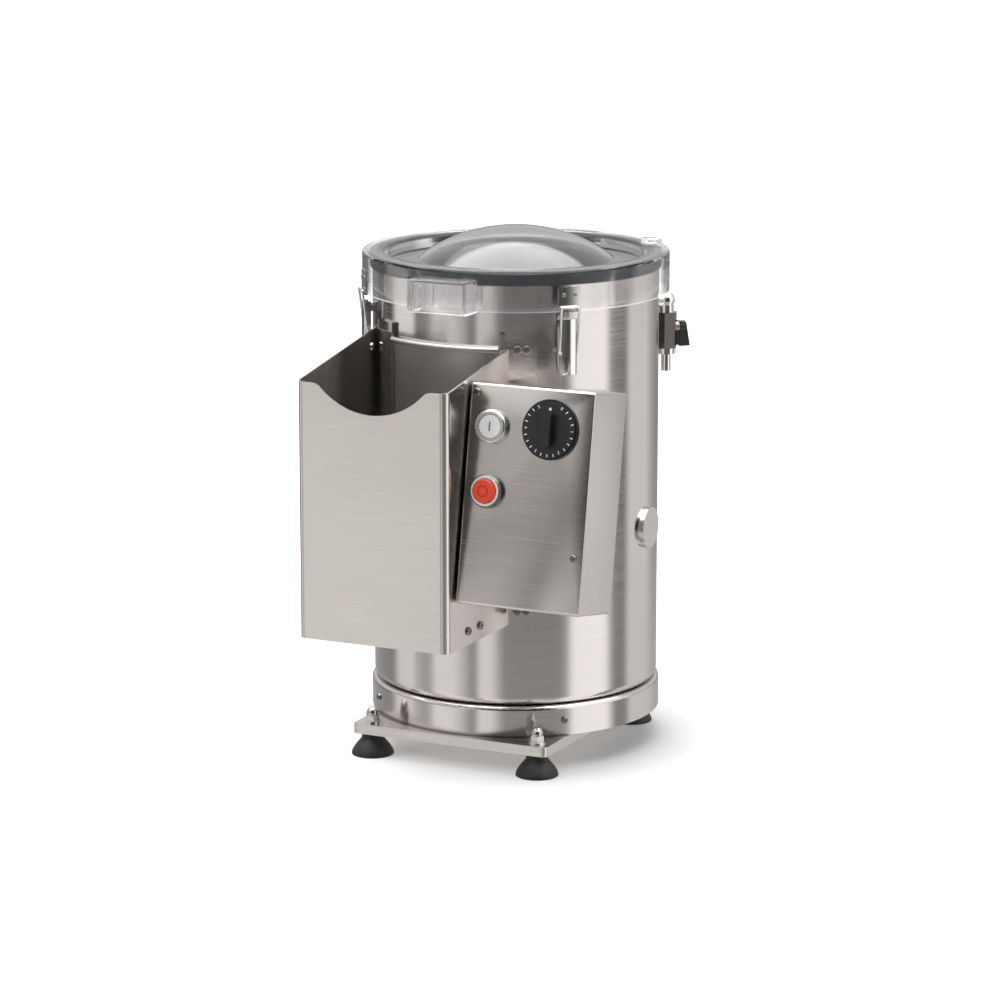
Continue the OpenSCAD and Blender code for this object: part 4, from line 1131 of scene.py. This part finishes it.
@dataclass
class ControlPanel:
    """Marks and screws of the control box.

    Attributes:
        left: left edge of the panel.
        front: distance of the upper edge ahead of the drum's axis.
        top: height of the upper edge.
        tilt: backward lean in degrees.
        width: width of the panel.
        height: height of the panel along its slope.
        fold: radius of the box's folded edges.
        fold_steps: steps of each fold.
        close: distance within which a corner counts as lying on a face.
        screws: places of the two panel screws.
        dial_at: place of the dial from the panel's upper left corner.
        dial_face: height of the dial's face above the panel.
        dial_r: radius of the dial.
        dial_mark_h: height of the marks on the dial.
        tick: width, length and height of a tick.
        tick_in: distance of the ticks inside the dial's edge.
        first_turn: bearing of the first number in degrees.
        tick_turn: angle from tick to tick in degrees.
        numbers: count of the numbers.
        number_every: ticks from number to number.
        number_size: height of the numbers.
        number_in: distance of the numbers inside the dial's edge.
        dot_r: radius of the pointer's dot.
        dot_out: distance of the pointer's dot from the dial's centre.
        dot_sides: number of the dot's sides.
        dial_soft: rounding of the dial's marks.
        start_at: place of the start button.
        start_top: height of the start cap above the panel.
        start_bar: width, length and height of the start button's bar.
        start_soft: rounding of that bar.
        stop_at: place of the stop button.
        stop_top: height of the stop cap above the panel.
        stop_mark: radius and height of the corners of the ring on the stop cap.
        stop_ring: radius and height of the corners of the ring round the stop cap.
        mark_sides: steps round the ring on the stop cap.
        ring_sides: steps round the ring round it.
    """

    left: float = 58.5 * MM
    front: float = 221 * MM
    top: float = 408 * MM
    tilt: float = 10.0
    width: float = 131 * MM
    height: float = 214 * MM
    fold: float = 2.6 * MM
    fold_steps: int = 5
    close: float = 0.02 * MM
    screws: Tuple[Ring, ...] = ((7 * MM, 9 * MM), (121 * MM, 159 * MM))
    dial_at: Ring = (88 * MM, 39 * MM)
    dial_face: float = 6 * MM
    dial_r: float = 27 * MM
    dial_mark_h: float = 0.25 * MM
    tick: Point = (0.9 * MM, 3.0 * MM, dial_mark_h)
    tick_in: float = 2.2 * MM
    first_turn: float = 30.0
    tick_turn: float = 15.0
    numbers: int = 6
    number_every: int = 4
    number_size: float = 4.4 * MM
    number_in: float = 3 * MM
    dot_r: float = 1.5 * MM
    dot_out: float = 19.5 * MM
    dot_sides: int = 24
    dial_soft: float = 0.1 * MM
    start_at: Ring = (26 * MM, 41 * MM)
    start_top: float = 7 * MM
    start_bar: Point = (1.6 * MM, 9 * MM, 0.3 * MM)
    start_soft: float = 0.12 * MM
    stop_at: Ring = (26 * MM, 103 * MM)
    stop_top: float = 12 * MM
    stop_mark: Tuple[Ring, ...] = (
        (4.2 * MM, 0.0), (5.8 * MM, 0.0), (5.6 * MM, 0.3 * MM), (4.4 * MM, 0.3 * MM),
    )
    stop_ring: Tuple[Ring, ...] = (
        (12.1 * MM, 0.0), (14.6 * MM, 0.0), (14.2 * MM, 0.6 * MM), (12.3 * MM, 0.6 * MM),
    )
    mark_sides: int = 48
    ring_sides: int = 64

    def place(self, across: float, down: float, out: float) -> Matrix:
        """Place on the panel whose local Z points out of it.

        Args:
            across: distance from the left edge.
            down: distance below the upper edge, along the slope.
            out: distance out of the face.

        Returns:
            The matrix.
        """
        corner = Matrix.Translation((self.left, -self.front, self.top))
        slope = Matrix.Rotation(math.radians(90 - self.tilt), 4, "X")
        return corner @ slope @ Matrix.Translation((across, -down, out))

    def on_dial(self, step: int, out: float) -> Matrix:
        """Place on the dial's face.

        Args:
            step: ticks past the first number.
            out: distance from the dial's centre.

        Returns:
            The matrix, whose local Y points away from the centre.
        """
        turn = Matrix.Rotation(-math.radians(self.first_turn + self.tick_turn * step), 4, "Z")
        return self.place(*self.dial_at, self.dial_face) @ turn @ Matrix.Translation((0, out, 0))

    def build(self, box: bpy.types.Object, fasteners: Fasteners, finishes: Finishes) -> None:
        """Model the folded box, the marks and the screws.

        Args:
            box: CAD node of the control box.
            fasteners: maker of the screw heads.
            finishes: materials.
        """
        self._folded_box(box, finishes)
        self._dial_marks(finishes)
        self._button_marks(finishes)
        places = [self.place(across, down, 0.0) for across, down in self.screws]
        finishes.set_out(
            fasteners.screw(), places, "panel_screw_heads", "dark_metal",
            Part.MACHINE, "dark_metal", ["panel_screws"],
        )

    def _folded_box(self, box: bpy.types.Object, finishes: Finishes) -> None:
        """Round the folded outer edges of the sheet box.

        Args:
            box: CAD node of the control box.
            finishes: materials.
        """
        local = self.place(0.0, 0.0, 0.0).inverted()

        def planes(point: Vector) -> Set[str]:
            """Name the outer faces of the box that a point lies on.

            Args:
                point: corner of the box, in the frame.

            Returns:
                The names of the faces.
            """
            spot = local @ point
            faces = {"front": spot.z, "left": spot.x, "right": spot.x - self.width, "top": spot.y}
            faces["foot"] = spot.y + self.height
            return {name for name, gap in faces.items() if abs(gap) < self.close}

        def folded(first: Vector, second: Vector) -> bool:
            """Tell whether an edge lies on two outer faces at once."""
            return len(planes(first) & planes(second)) > 1

        shell = Shop.twin(box)
        folds = Shop.round_edges(shell, folded, self.fold, self.fold_steps)
        log.info("folded edges of the control box: %d", folds)
        finishes.dress(shell, "sheet_steel")
        Shop.settle(shell, "folded_box", Part.MACHINE, "brushed_steel", ["control_box"])

    def _dial_marks(self, finishes: Finishes) -> None:
        """Model the ticks, the numbers and the pointer of the dial.

        Args:
            finishes: materials.
        """
        tick = Shop.block(self.tick)
        Shop.soften(tick, self.dial_soft)
        last = (self.numbers - 1) * self.number_every
        steps = [step for step in range(last) if step % self.number_every]
        places = [self.on_dial(step, self.dial_r - self.tick_in) for step in steps]
        finishes.set_out(tick, places, "dial_ticks", "mark_white", Part.DIAL, "white_plastic")
        for number in range(self.numbers):
            mark = Shop.word(str(number), self.number_size, self.dial_mark_h)
            spot = self.on_dial(number * self.number_every, self.dial_r - self.number_in)
            name = f"dial_number_{number}"
            finishes.set_out(mark, [spot], name, "mark_white", Part.DIAL, "white_plastic")
        dot = Shop.cylinder(self.dot_r, self.dial_mark_h, self.dot_sides)
        Shop.soften(dot, self.dial_soft)
        spot = self.place(*self.dial_at, self.dial_face) @ Matrix.Translation((0, self.dot_out, 0))
        finishes.set_out(dot, [spot], "dial_pointer", "mark_white", Part.DIAL, "white_plastic")

    def _button_marks(self, finishes: Finishes) -> None:
        """Model the bar of the start button and the rings of the stop button.

        Args:
            finishes: materials.
        """
        bar = Shop.block(self.start_bar)
        Shop.soften(bar, self.start_soft)
        spot = self.place(*self.start_at, self.start_top)
        finishes.set_out(bar, [spot], "start_mark", "mark_grey", Part.START, "grey_plastic")
        ring = Shop.lathe(self.stop_mark, self.mark_sides)
        spot = self.place(*self.stop_at, self.stop_top)
        finishes.set_out(ring, [spot], "stop_mark", "mark_red", Part.STOP, "red_plastic")
        ring = Shop.lathe(self.stop_ring, self.ring_sides)
        spot = self.place(*self.stop_at, self.start_top)
        finishes.set_out(ring, [spot], "stop_ring", "white_plastic", Part.MACHINE, "white_plastic")


@dataclass
class Lid:
    """Clear lid with its ring, recess, dome and grip.

    Attributes:
        radius: outer radius.
        wall: wall thickness.
        foot: height of the skirt's lower edge.
        foot_cut: chamfer of that edge.
        top: height of the flat ring.
        ring_in: inner radius of the ring.
        recess: height of the recess.
        dome_r: radius of the dome's foot.
        dome_h: height of the dome.
        dome_steps: steps of the dome's outline.
        soft: radius of the moulded edges.
        sides: steps round the axis.
        smooth: largest angle that is shaded smooth, in degrees.
        grip_w: width of the grip.
        grip_reach: reach of the grip ahead of the skirt.
        grip_lap: how far the grip reaches into the skirt.
        grip_h: height of the grip.
        grip_soft: rounding of the grip's edges.
        grip_steps: steps of that rounding.
        spare: how far a cutting tool stands clear of a face.
        boss_turn: bearing of the boss on the ring.
        boss_in: distance of the boss from the ring's inner edge.
        boss_size: lengths of that boss.
        boss_sunk: how far it is sunk into the ring.
        boss_steps: steps of the rounding of its edges.
        keeper_turns: bearings of the two keepers.
        rivet_turn: turn of a rivet from its keeper's middle.
        rivet_out: distance of the rivets ahead of the skirt.
        rivet_up: height of the rivets above the skirt's lower edge.
    """

    radius: float = 155.47 * MM
    wall: float = 3 * MM
    foot: float = 463 * MM
    foot_cut: float = 0.5 * MM
    top: float = 503 * MM
    ring_in: float = 133 * MM
    recess: float = 495 * MM
    dome_r: float = 99 * MM
    dome_h: float = 31.94 * MM
    dome_steps: int = 20
    soft: float = 1.4 * MM
    sides: int = 160
    smooth: float = 30.0
    grip_w: float = 63 * MM
    grip_reach: float = 26.5 * MM
    grip_lap: float = 1.5 * MM
    grip_h: float = 33 * MM
    grip_soft: float = 3 * MM
    grip_steps: int = 4
    spare: float = 0.01 * MM
    boss_turn: float = 43.0
    boss_in: float = 4 * MM
    boss_size: Point = (16 * MM, 20 * MM, 5 * MM)
    boss_sunk: float = 1 * MM
    boss_steps: int = 3
    keeper_turns: Tuple[float, float] = (-45.0, -141.0)
    rivet_turn: float = 2.1
    rivet_out: float = 1.95 * MM
    rivet_up: float = 17 * MM

    def _dome(self, inset: float) -> List[Ring]:
        """Points of the dome from its foot to its crown.

        Args:
            inset: distance inside the outer face.

        Returns:
            The points.
        """
        ball = (self.dome_r**2 + self.dome_h**2) / (2 * self.dome_h)
        centre = (0.0, self.recess + self.dome_h - ball)
        foot = math.degrees(math.asin((self.recess - inset - centre[1]) / (ball - inset)))
        return arc(centre, ball - inset, foot, 90.0, self.dome_steps)

    def outline(self) -> List[Ring]:
        """Closed outline of the lid's section.

        Returns:
            Radius and height of each corner.
        """
        soft, wall, radius, cut = self.soft, self.wall, self.radius, self.foot_cut
        points = [(radius - wall, self.foot), (radius - cut, self.foot), (radius, self.foot + cut)]
        points += arc((radius - soft, self.top - soft), soft, 0, 90)
        points += arc((self.ring_in + soft, self.top - soft), soft, 90, 180)
        points += arc((self.ring_in - soft, self.recess + soft), soft, 0, -90)
        points += self._dome(0.0)
        points += list(reversed(self._dome(wall)))
        points += [(self.ring_in - wall, self.recess - wall), (self.ring_in - wall, self.top - wall)]
        points += [(radius - wall, self.top - wall)]
        return points

    def build(self, fasteners: Fasteners, finishes: Finishes) -> None:
        """Model the lid and the rivets of its keepers.

        Args:
            fasteners: maker of the rivets.
            finishes: materials.
        """
        shell = Shop.lathe(self.outline(), self.sides)
        Shop.cut(shell, self._grip(), "UNION")
        Shop.cut(shell, self._boss(), "UNION")
        finishes.dress(shell, "clear_plastic")
        Shop.settle(shell, "clear_lid", Part.LID, "clear_plastic", ["lid"], self.smooth)
        turns = [turn + side * self.rivet_turn for turn in self.keeper_turns for side in (-1, 1)]
        places = [bearing(turn, self.radius + self.rivet_out, self.foot + self.rivet_up) for turn in turns]
        finishes.set_out(
            fasteners.rivet(), places, "keeper_rivets", "dark_metal", Part.LID, "bright_metal"
        )

    def _boss(self) -> bpy.types.Object:
        """Model the low boss on the ring.

        Returns:
            The boss, sunk a little into the ring.
        """
        long, wide, high = self.boss_size
        boss = Shop.block((long, wide, high + self.boss_sunk))
        Shop.soften(boss, self.soft, self.boss_steps)
        place = (self.ring_in + self.boss_in + long / 2, 0.0, self.top - self.boss_sunk)
        turn = Matrix.Rotation(math.radians(self.boss_turn), 4, "Z")
        boss.matrix_world = turn @ Matrix.Translation(place)
        return boss

    def _grip(self) -> bpy.types.Object:
        """Model the hollow grip, open below and behind.

        Returns:
            The grip, set against the skirt.
        """

        def outer(first: Vector, second: Vector) -> bool:
            """Tell the grip's front edges and its upper side edges from the others."""
            side = first.z > 0 and second.z > 0 and abs(first.x - second.x) < MM
            return first.y < 0 and second.y < 0 or side

        deep = self.grip_reach + self.grip_lap
        grip = Shop.block((self.grip_w, deep, self.grip_h))
        Shop.round_edges(grip, outer, self.grip_soft, self.grip_steps)
        tool = Shop.block((self.grip_w - 2 * self.wall, deep, self.grip_h - self.wall))
        tool.location.y = self.wall + self.spare
        tool.location.z = -self.spare
        Shop.cut(grip, tool)
        grip.location = (0.0, -(self.radius + self.grip_reach) + deep / 2, self.foot)
        Shop.take(grip)
        Shop.fix()
        Shop.cut(grip, Shop.cylinder(self.radius - self.wall / 2, 2 * self.top, self.sides))
        return grip


@dataclass
class Drum:
    """Screws of the base ring and of the chute.

    Attributes:
        ring_r: outer radius of the base ring.
        ring_z: height of its screws.
        ring_turns: bearings of its screws.
        flange_r: outer radius of the chute's flanges.
        flange_spots: bearing and height of each flange screw.
        wall_x: outer face of the chute's right wall.
        wall_spots: distance ahead of the drum's axis and height of each wall screw.
        inner_spot: place of the domed screw inside the chute's left wall.
        head_r: radius of the chute's screw heads.
        sunk: how far a head is sunk into a curved sheet.
        shank: length of shank below a head.
    """

    ring_r: float = 147.5 * MM
    ring_z: float = 48.5 * MM
    ring_turns: Tuple[float, ...] = (45, 135, 225, 315)
    flange_r: float = 146.5 * MM
    flange_spots: Tuple[Ring, ...] = (
        (-63.9, 425 * MM), (-60.4, 425 * MM), (-63.9, 162 * MM), (-60.4, 162 * MM),
        (-145.4, 383 * MM), (-141.9, 383 * MM), (-145.4, 162 * MM), (-141.9, 162 * MM),
    )
    wall_x: float = 56.5 * MM
    wall_spots: Tuple[Ring, ...] = ((225 * MM, 162 * MM), (199 * MM, 162 * MM))
    inner_spot: Point = (-105.6 * MM, -113 * MM, 413 * MM)
    head_r: float = 4.2 * MM
    sunk: float = 0.1 * MM
    shank: float = 0.3 * MM

    def build(self, fasteners: Fasteners, finishes: Finishes) -> None:
        """Model the screws.

        Args:
            fasteners: maker of the base ring's screw heads.
            finishes: materials.
        """
        places = [bearing(turn, self.ring_r - self.sunk, self.ring_z) for turn in self.ring_turns]
        finishes.set_out(
            fasteners.screw(self.shank), places, "ring_screw_heads", "dark_metal",
            Part.MACHINE, "dark_metal", ["base_ring_screws"],
        )
        large = Fasteners(head_r=self.head_r, rivet_r=self.head_r)
        places = [bearing(turn, self.flange_r - self.sunk, height) for turn, height in self.flange_spots]
        for front, height in self.wall_spots:
            places.append(Matrix.Translation((self.wall_x, -front, height)) @ SIDEWAYS)
        finishes.set_out(
            large.screw(self.shank), places, "chute_screw_heads", "dark_metal",
            Part.MACHINE, "dark_metal", ["chute_screws"],
        )
        spot = Matrix.Translation(self.inner_spot) @ SIDEWAYS
        finishes.set_out(
            large.rivet(), [spot], "chute_inner_screw", "bright_metal", Part.MACHINE, "bright_metal"
        )


@dataclass
class Feet:
    """Rubber feet under the base plate, in millimetres.

    Attributes:
        places: place of each foot.
        profile: radius and height of the outside's corners.
        bore: radius of the hole for the stud.
        floor: thickness of rubber under the stud.
        sides: steps round each foot.
        smooth: largest angle that is shaded smooth, in degrees.
    """

    places: Tuple[Ring, ...] = ((-92, -143), (92, -143), (-92, 88), (92, 88))
    profile: Tuple[Ring, ...] = (
        (0, 0), (20.7, 0), (21.4, 0.5), (21.5, 1.5), (21.1, 3.2), (20.0, 5.6), (17.9, 9.0), (15.2, 12.4),
        (12.4, 15.6), (11.3, 16.6), (11, 17.2), (11, 31),
    )
    bore: float = 4.15
    floor: float = 4.0
    sides: int = 64
    smooth: float = 50.0

    def build(self, finishes: Finishes) -> None:
        """Model one foot and set down its copies.

        Args:
            finishes: materials.
        """
        top = self.profile[-1][1]
        outline = list(self.profile) + [(self.bore, top), (self.bore, self.floor), (0, self.floor)]
        foot = Shop.lathe([(radius * MM, height * MM) for radius, height in outline], self.sides)
        places = [Matrix.Translation((x * MM, y * MM, 0)) for x, y in self.places]
        finishes.set_out(
            foot, places, "flared_feet", "black_rubber",
            Part.MACHINE, "black_rubber", ["rubber_feet"], self.smooth,
        )


@dataclass
class Studio:
    """Floor, light and camera.

    Attributes:
        azimuth: camera's bearing in degrees, 0 being the front.
        pitch: camera's height above the horizon, in degrees.
        distance: camera's distance from its target.
        target: point that the camera looks at.
        lens: focal length in millimetres.
        sensor: width of the camera's sensor in millimetres.
        strips: bearing and brightness below the horizon, as metal shows them.
        brow: the same a little higher, as the drum's upper part shows them.
        level: bearing and brightness of the walls at the horizon.
        upper: bearing and brightness of the walls above it.
        ceiling: brightness of the ceiling, as metal and glass show it.
        brow_z: heights of a ray's direction between which the strips go over into the brow.
        level_z: the same between the brow and the horizon.
        upper_z: the same between the horizon and the upper walls.
        ceiling_z: the same between the upper walls and the ceiling.
        tint: colour of the walls and strips.
        surround: brightness that matt pieces get from all sides.
        lamps: name, place, width and height, and power in watts of each softbox.
        lamp_aim: point that the softboxes face.
        floor_size: length of the floor's sides.
        floor_shade: brightness of the floor's colour.
        floor_roughness: roughness of the floor.
        near: distances from the drum's axis between which the floor's painted shadow fades and the floor
            brightens.
        near_glow: light of the floor at those distances, kept low round the machine's foot as a painted
            shadow.
        far: distances between which the floor goes over into white.
        far_glow: light that it gains there.
    """

    azimuth: float = 25.78
    pitch: float = 12.11
    distance: float = 4.0607
    target: Point = (-0.01787, 0.0, 0.24196)
    lens: float = 142.51
    sensor: float = 36.0
    strips: Tuple[Span, ...] = (
        (-180, 0.50), (-126, 0.42), (-90, 0.40), (-84, 0.78), (-60, 0.80), (-55, 0.56), (-47, 0.56),
        (-43, 1.02), (-27, 1.02), (-16, 0.68), (-10, 0.44), (-6, 0.46), (-3, 0.98), (9, 0.98), (17, 0.50),
        (62, 0.50), (67, 0.58), (72, 1.20), (105, 1.26), (114, 0.30), (124, 0.32), (132, 0.76), (158, 0.72),
        (168, 0.64), (180, 0.50),
    )
    brow: Tuple[Span, ...] = (
        (-180, 0.30), (-126, 0.20), (-104, 0.04), (-93, 0.04), (-86, 1.08), (-66, 1.20), (-61, 0.12),
        (-50, 0.36), (-43, 1.02), (-27, 1.02), (-16, 0.60), (-11, 0.20), (-8, 0.24), (-5, 1.12), (5, 1.12),
        (12, 0.12), (62, 0.05), (68, 0.22), (74, 1.32), (101, 1.38), (108, 0.20), (123, 0.08), (131, 0.90),
        (156, 0.84), (166, 0.46), (180, 0.30),
    )
    level: Tuple[Span, ...] = (
        (-180, 0.50), (-90, 0.45), (-50, 0.20), (-12, 0.20), (8, 0.02), (60, 0.02), (72, 1.05), (120, 1.05),
        (132, 0.60), (180, 0.50),
    )
    upper: Tuple[Span, ...] = (
        (-180, 0.70), (-90, 0.75), (-45, 0.95), (-12, 0.90), (8, 0.03), (60, 0.03), (75, 1.40), (120, 1.40),
        (135, 0.75), (180, 0.70),
    )
    ceiling: float = 3.9
    brow_z: Span = (-0.25, -0.20)
    level_z: Span = (-0.14, -0.08)
    upper_z: Span = (0.09, 0.20)
    ceiling_z: Span = (0.69, 0.74)
    tint: Point = (1.0, 0.985, 0.965)
    surround: float = 0.42
    lamps: Tuple[Tuple[str, Point, Span, float], ...] = (
        ("overhead", (-0.35, 0.05, 2.0), (2.2, 2.2), 30.0),
        ("left_fill", (-1.6, -1.4, 1.0), (0.9, 1.4), 15.0),
    )
    lamp_aim: Point = (0.0, 0.0, 0.25)
    floor_size: float = 14.0
    floor_shade: float = 0.82
    floor_roughness: float = 0.9
    near: Span = (0.13, 0.26)
    near_glow: Span = (0.14, 0.74)
    far: Span = (0.26, 0.70)
    far_glow: float = 0.35

    def build(self) -> None:
        """Set up the stage."""
        self._camera()
        self._world()
        for lamp in self.lamps:
            self._lamp(*lamp)
        self._floor()
        bpy.context.scene.view_settings.view_transform = "Standard"

    def _camera(self) -> None:
        """Add the camera at the photograph's angle."""
        turn, lift = math.radians(self.azimuth), math.radians(self.pitch)
        back = Vector((math.sin(turn) * math.cos(lift), -math.cos(turn) * math.cos(lift), math.sin(lift)))
        data = bpy.data.cameras.new("camera")
        data.lens = self.lens
        data.sensor_width = self.sensor
        camera = bpy.data.objects.new("camera", data)
        camera.location = Vector(self.target) + back * self.distance
        camera.rotation_mode = "QUATERNION"
        camera.rotation_quaternion = (-back).to_track_quat("-Z", "Y")
        bpy.context.scene.collection.objects.link(camera)
        bpy.context.scene.camera = camera

    def _walls(self, nodes: Nodes) -> Target:
        """Draw the room that metal and glass show.

        Args:
            nodes: builder of the world.

        Returns:
            The room's colour in every direction.
        """
        parts = nodes.add("SeparateXYZ", Vector=nodes.add("TexCoord").outputs["Generated"]).outputs
        angle = nodes.math("ARCTAN2", parts["X"], nodes.math("MULTIPLY", parts["Y"], -1.0))
        share = nodes.span(angle, -math.pi, math.pi, 0.0, 1.0)
        room = self._ramp(nodes, share, self.strips)
        zones = ((self.brow_z, self.brow), (self.level_z, self.level), (self.upper_z, self.upper))
        for heights, row in zones:
            over = nodes.span(parts["Z"], *heights, 0.0, 1.0)
            room = nodes.mix(over, room, self._ramp(nodes, share, row))
        over = nodes.span(parts["Z"], *self.ceiling_z, 0.0, 1.0)
        return nodes.mix(over, room, grey(self.ceiling))

    def _world(self) -> None:
        """Make a white surround whose walls only metal and glass show."""
        world = bpy.data.worlds.new("studio")
        bpy.context.scene.world = world
        world.use_nodes = True
        nodes = Nodes(world.node_tree)
        rays = nodes.add("LightPath").outputs
        mirrored = nodes.math("MINIMUM", rays["Glossy Depth"], 1.0)
        shown = nodes.mix(mirrored, grey(self.surround), self._walls(nodes))
        straight = nodes.math("MAXIMUM", rays["Is Camera Ray"], rays["Is Transmission Ray"])
        seen = nodes.math("MULTIPLY", nodes.math("SUBTRACT", 1.0, mirrored), straight)
        background = world.node_tree.nodes["Background"]
        nodes.feed(background.inputs["Color"], nodes.mix(seen, shown, WHITE))
        nodes.feed(background.inputs["Strength"], 1.0)

    def _ramp(self, nodes: Nodes, share: Target, row: Sequence[Span]) -> Target:
        """Turn a row of bearings and levels into a ramp.

        Args:
            nodes: builder of the world.
            share: bearing, from 0 to 1 over a full turn.
            row: bearing in degrees and brightness of each stop.

        Returns:
            The ramp's colour.
        """
        ramp = nodes.add("ValToRGB", Fac=share)
        stops = ramp.color_ramp.elements
        places = [(turn + 180.0) / 360.0 for turn, _ in row]
        for place in places[1:-1]:
            stops.new(place)
        for stop, place, (_, level) in zip(stops, places, row):
            stop.position = place
            stop.color = [level * channel for channel in self.tint] + [1.0]
        return ramp.outputs["Color"]

    def _lamp(self, name: str, place: Point, size: Span, power: float) -> None:
        """Add one softbox that faces the machine.

        Args:
            name: name of the lamp.
            place: its place.
            size: its width and height.
            power: its power in watts.
        """
        data = bpy.data.lights.new(name, "AREA")
        data.shape = "RECTANGLE"
        data.size, data.size_y = size
        data.energy = power
        lamp = bpy.data.objects.new(name, data)
        lamp.location = place
        lamp.rotation_mode = "QUATERNION"
        aim = Vector(self.lamp_aim) - Vector(place)
        lamp.rotation_quaternion = aim.to_track_quat("-Z", "Y")
        lamp.visible_glossy = False
        bpy.context.scene.collection.objects.link(lamp)

    def _floor(self) -> None:
        """Lay a pale floor that keeps the machine's shadow, with a painted shadow round its foot, and that
        metal does not show.
        """
        Shop.clear()
        bpy.ops.mesh.primitive_plane_add(size=self.floor_size, location=(0, 0, 0))
        floor = bpy.context.object
        floor.name = "floor"
        material, nodes, shader = new_material("floor_white")
        nodes.feed(shader.inputs["Base Color"], grey(self.floor_shade))
        nodes.feed(shader.inputs["Roughness"], self.floor_roughness)
        nodes.feed(shader.inputs["Specular IOR Level"], 0.0)
        rays = nodes.add("LightPath").outputs
        seen = nodes.math("MAXIMUM", rays["Is Camera Ray"], rays["Is Transmission Ray"])
        reach = nodes.reach()
        # The floor glows less round the machine's foot: painted shadow.
        near = nodes.span(reach, *self.near, *self.near_glow)
        light = nodes.math("ADD", near, nodes.span(reach, *self.far, 0.0, self.far_glow))
        glow = nodes.add("Emission", Color=WHITE, Strength=nodes.math("MULTIPLY", seen, light))
        both = nodes.add("AddShader")
        nodes.feed(both.inputs[0], shader.outputs[0])
        nodes.feed(both.inputs[1], glow.outputs[0])
        gone = nodes.add("MixShader", Fac=nodes.math("MINIMUM", rays["Glossy Depth"], 1.0))
        nodes.feed(gone.inputs[1], both.outputs[0])
        nodes.feed(gone.inputs[2], nodes.add("BsdfTransparent").outputs[0])
        nodes.feed(material.node_tree.nodes["Material Output"].inputs["Surface"], gone.outputs[0])
        floor.data.materials.append(material)


def main() -> None:
    """Load the frame, dress it and build the new pieces."""
    logging.basicConfig(level=logging.INFO)
    bpy.ops.object.select_all(action="SELECT")
    bpy.ops.object.delete()
    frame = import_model()
    finishes = Finishes(EffectGroups())
    finishes.dress_frame(frame)
    fasteners = Fasteners()
    Drum().build(fasteners, finishes)
    Feet().build(finishes)
    ControlPanel().build(frame["nodes"]["control_box"], fasteners, finishes)
    Lid().build(fasteners, finishes)
    Studio().build()


if __name__ == "__main__":
    main()
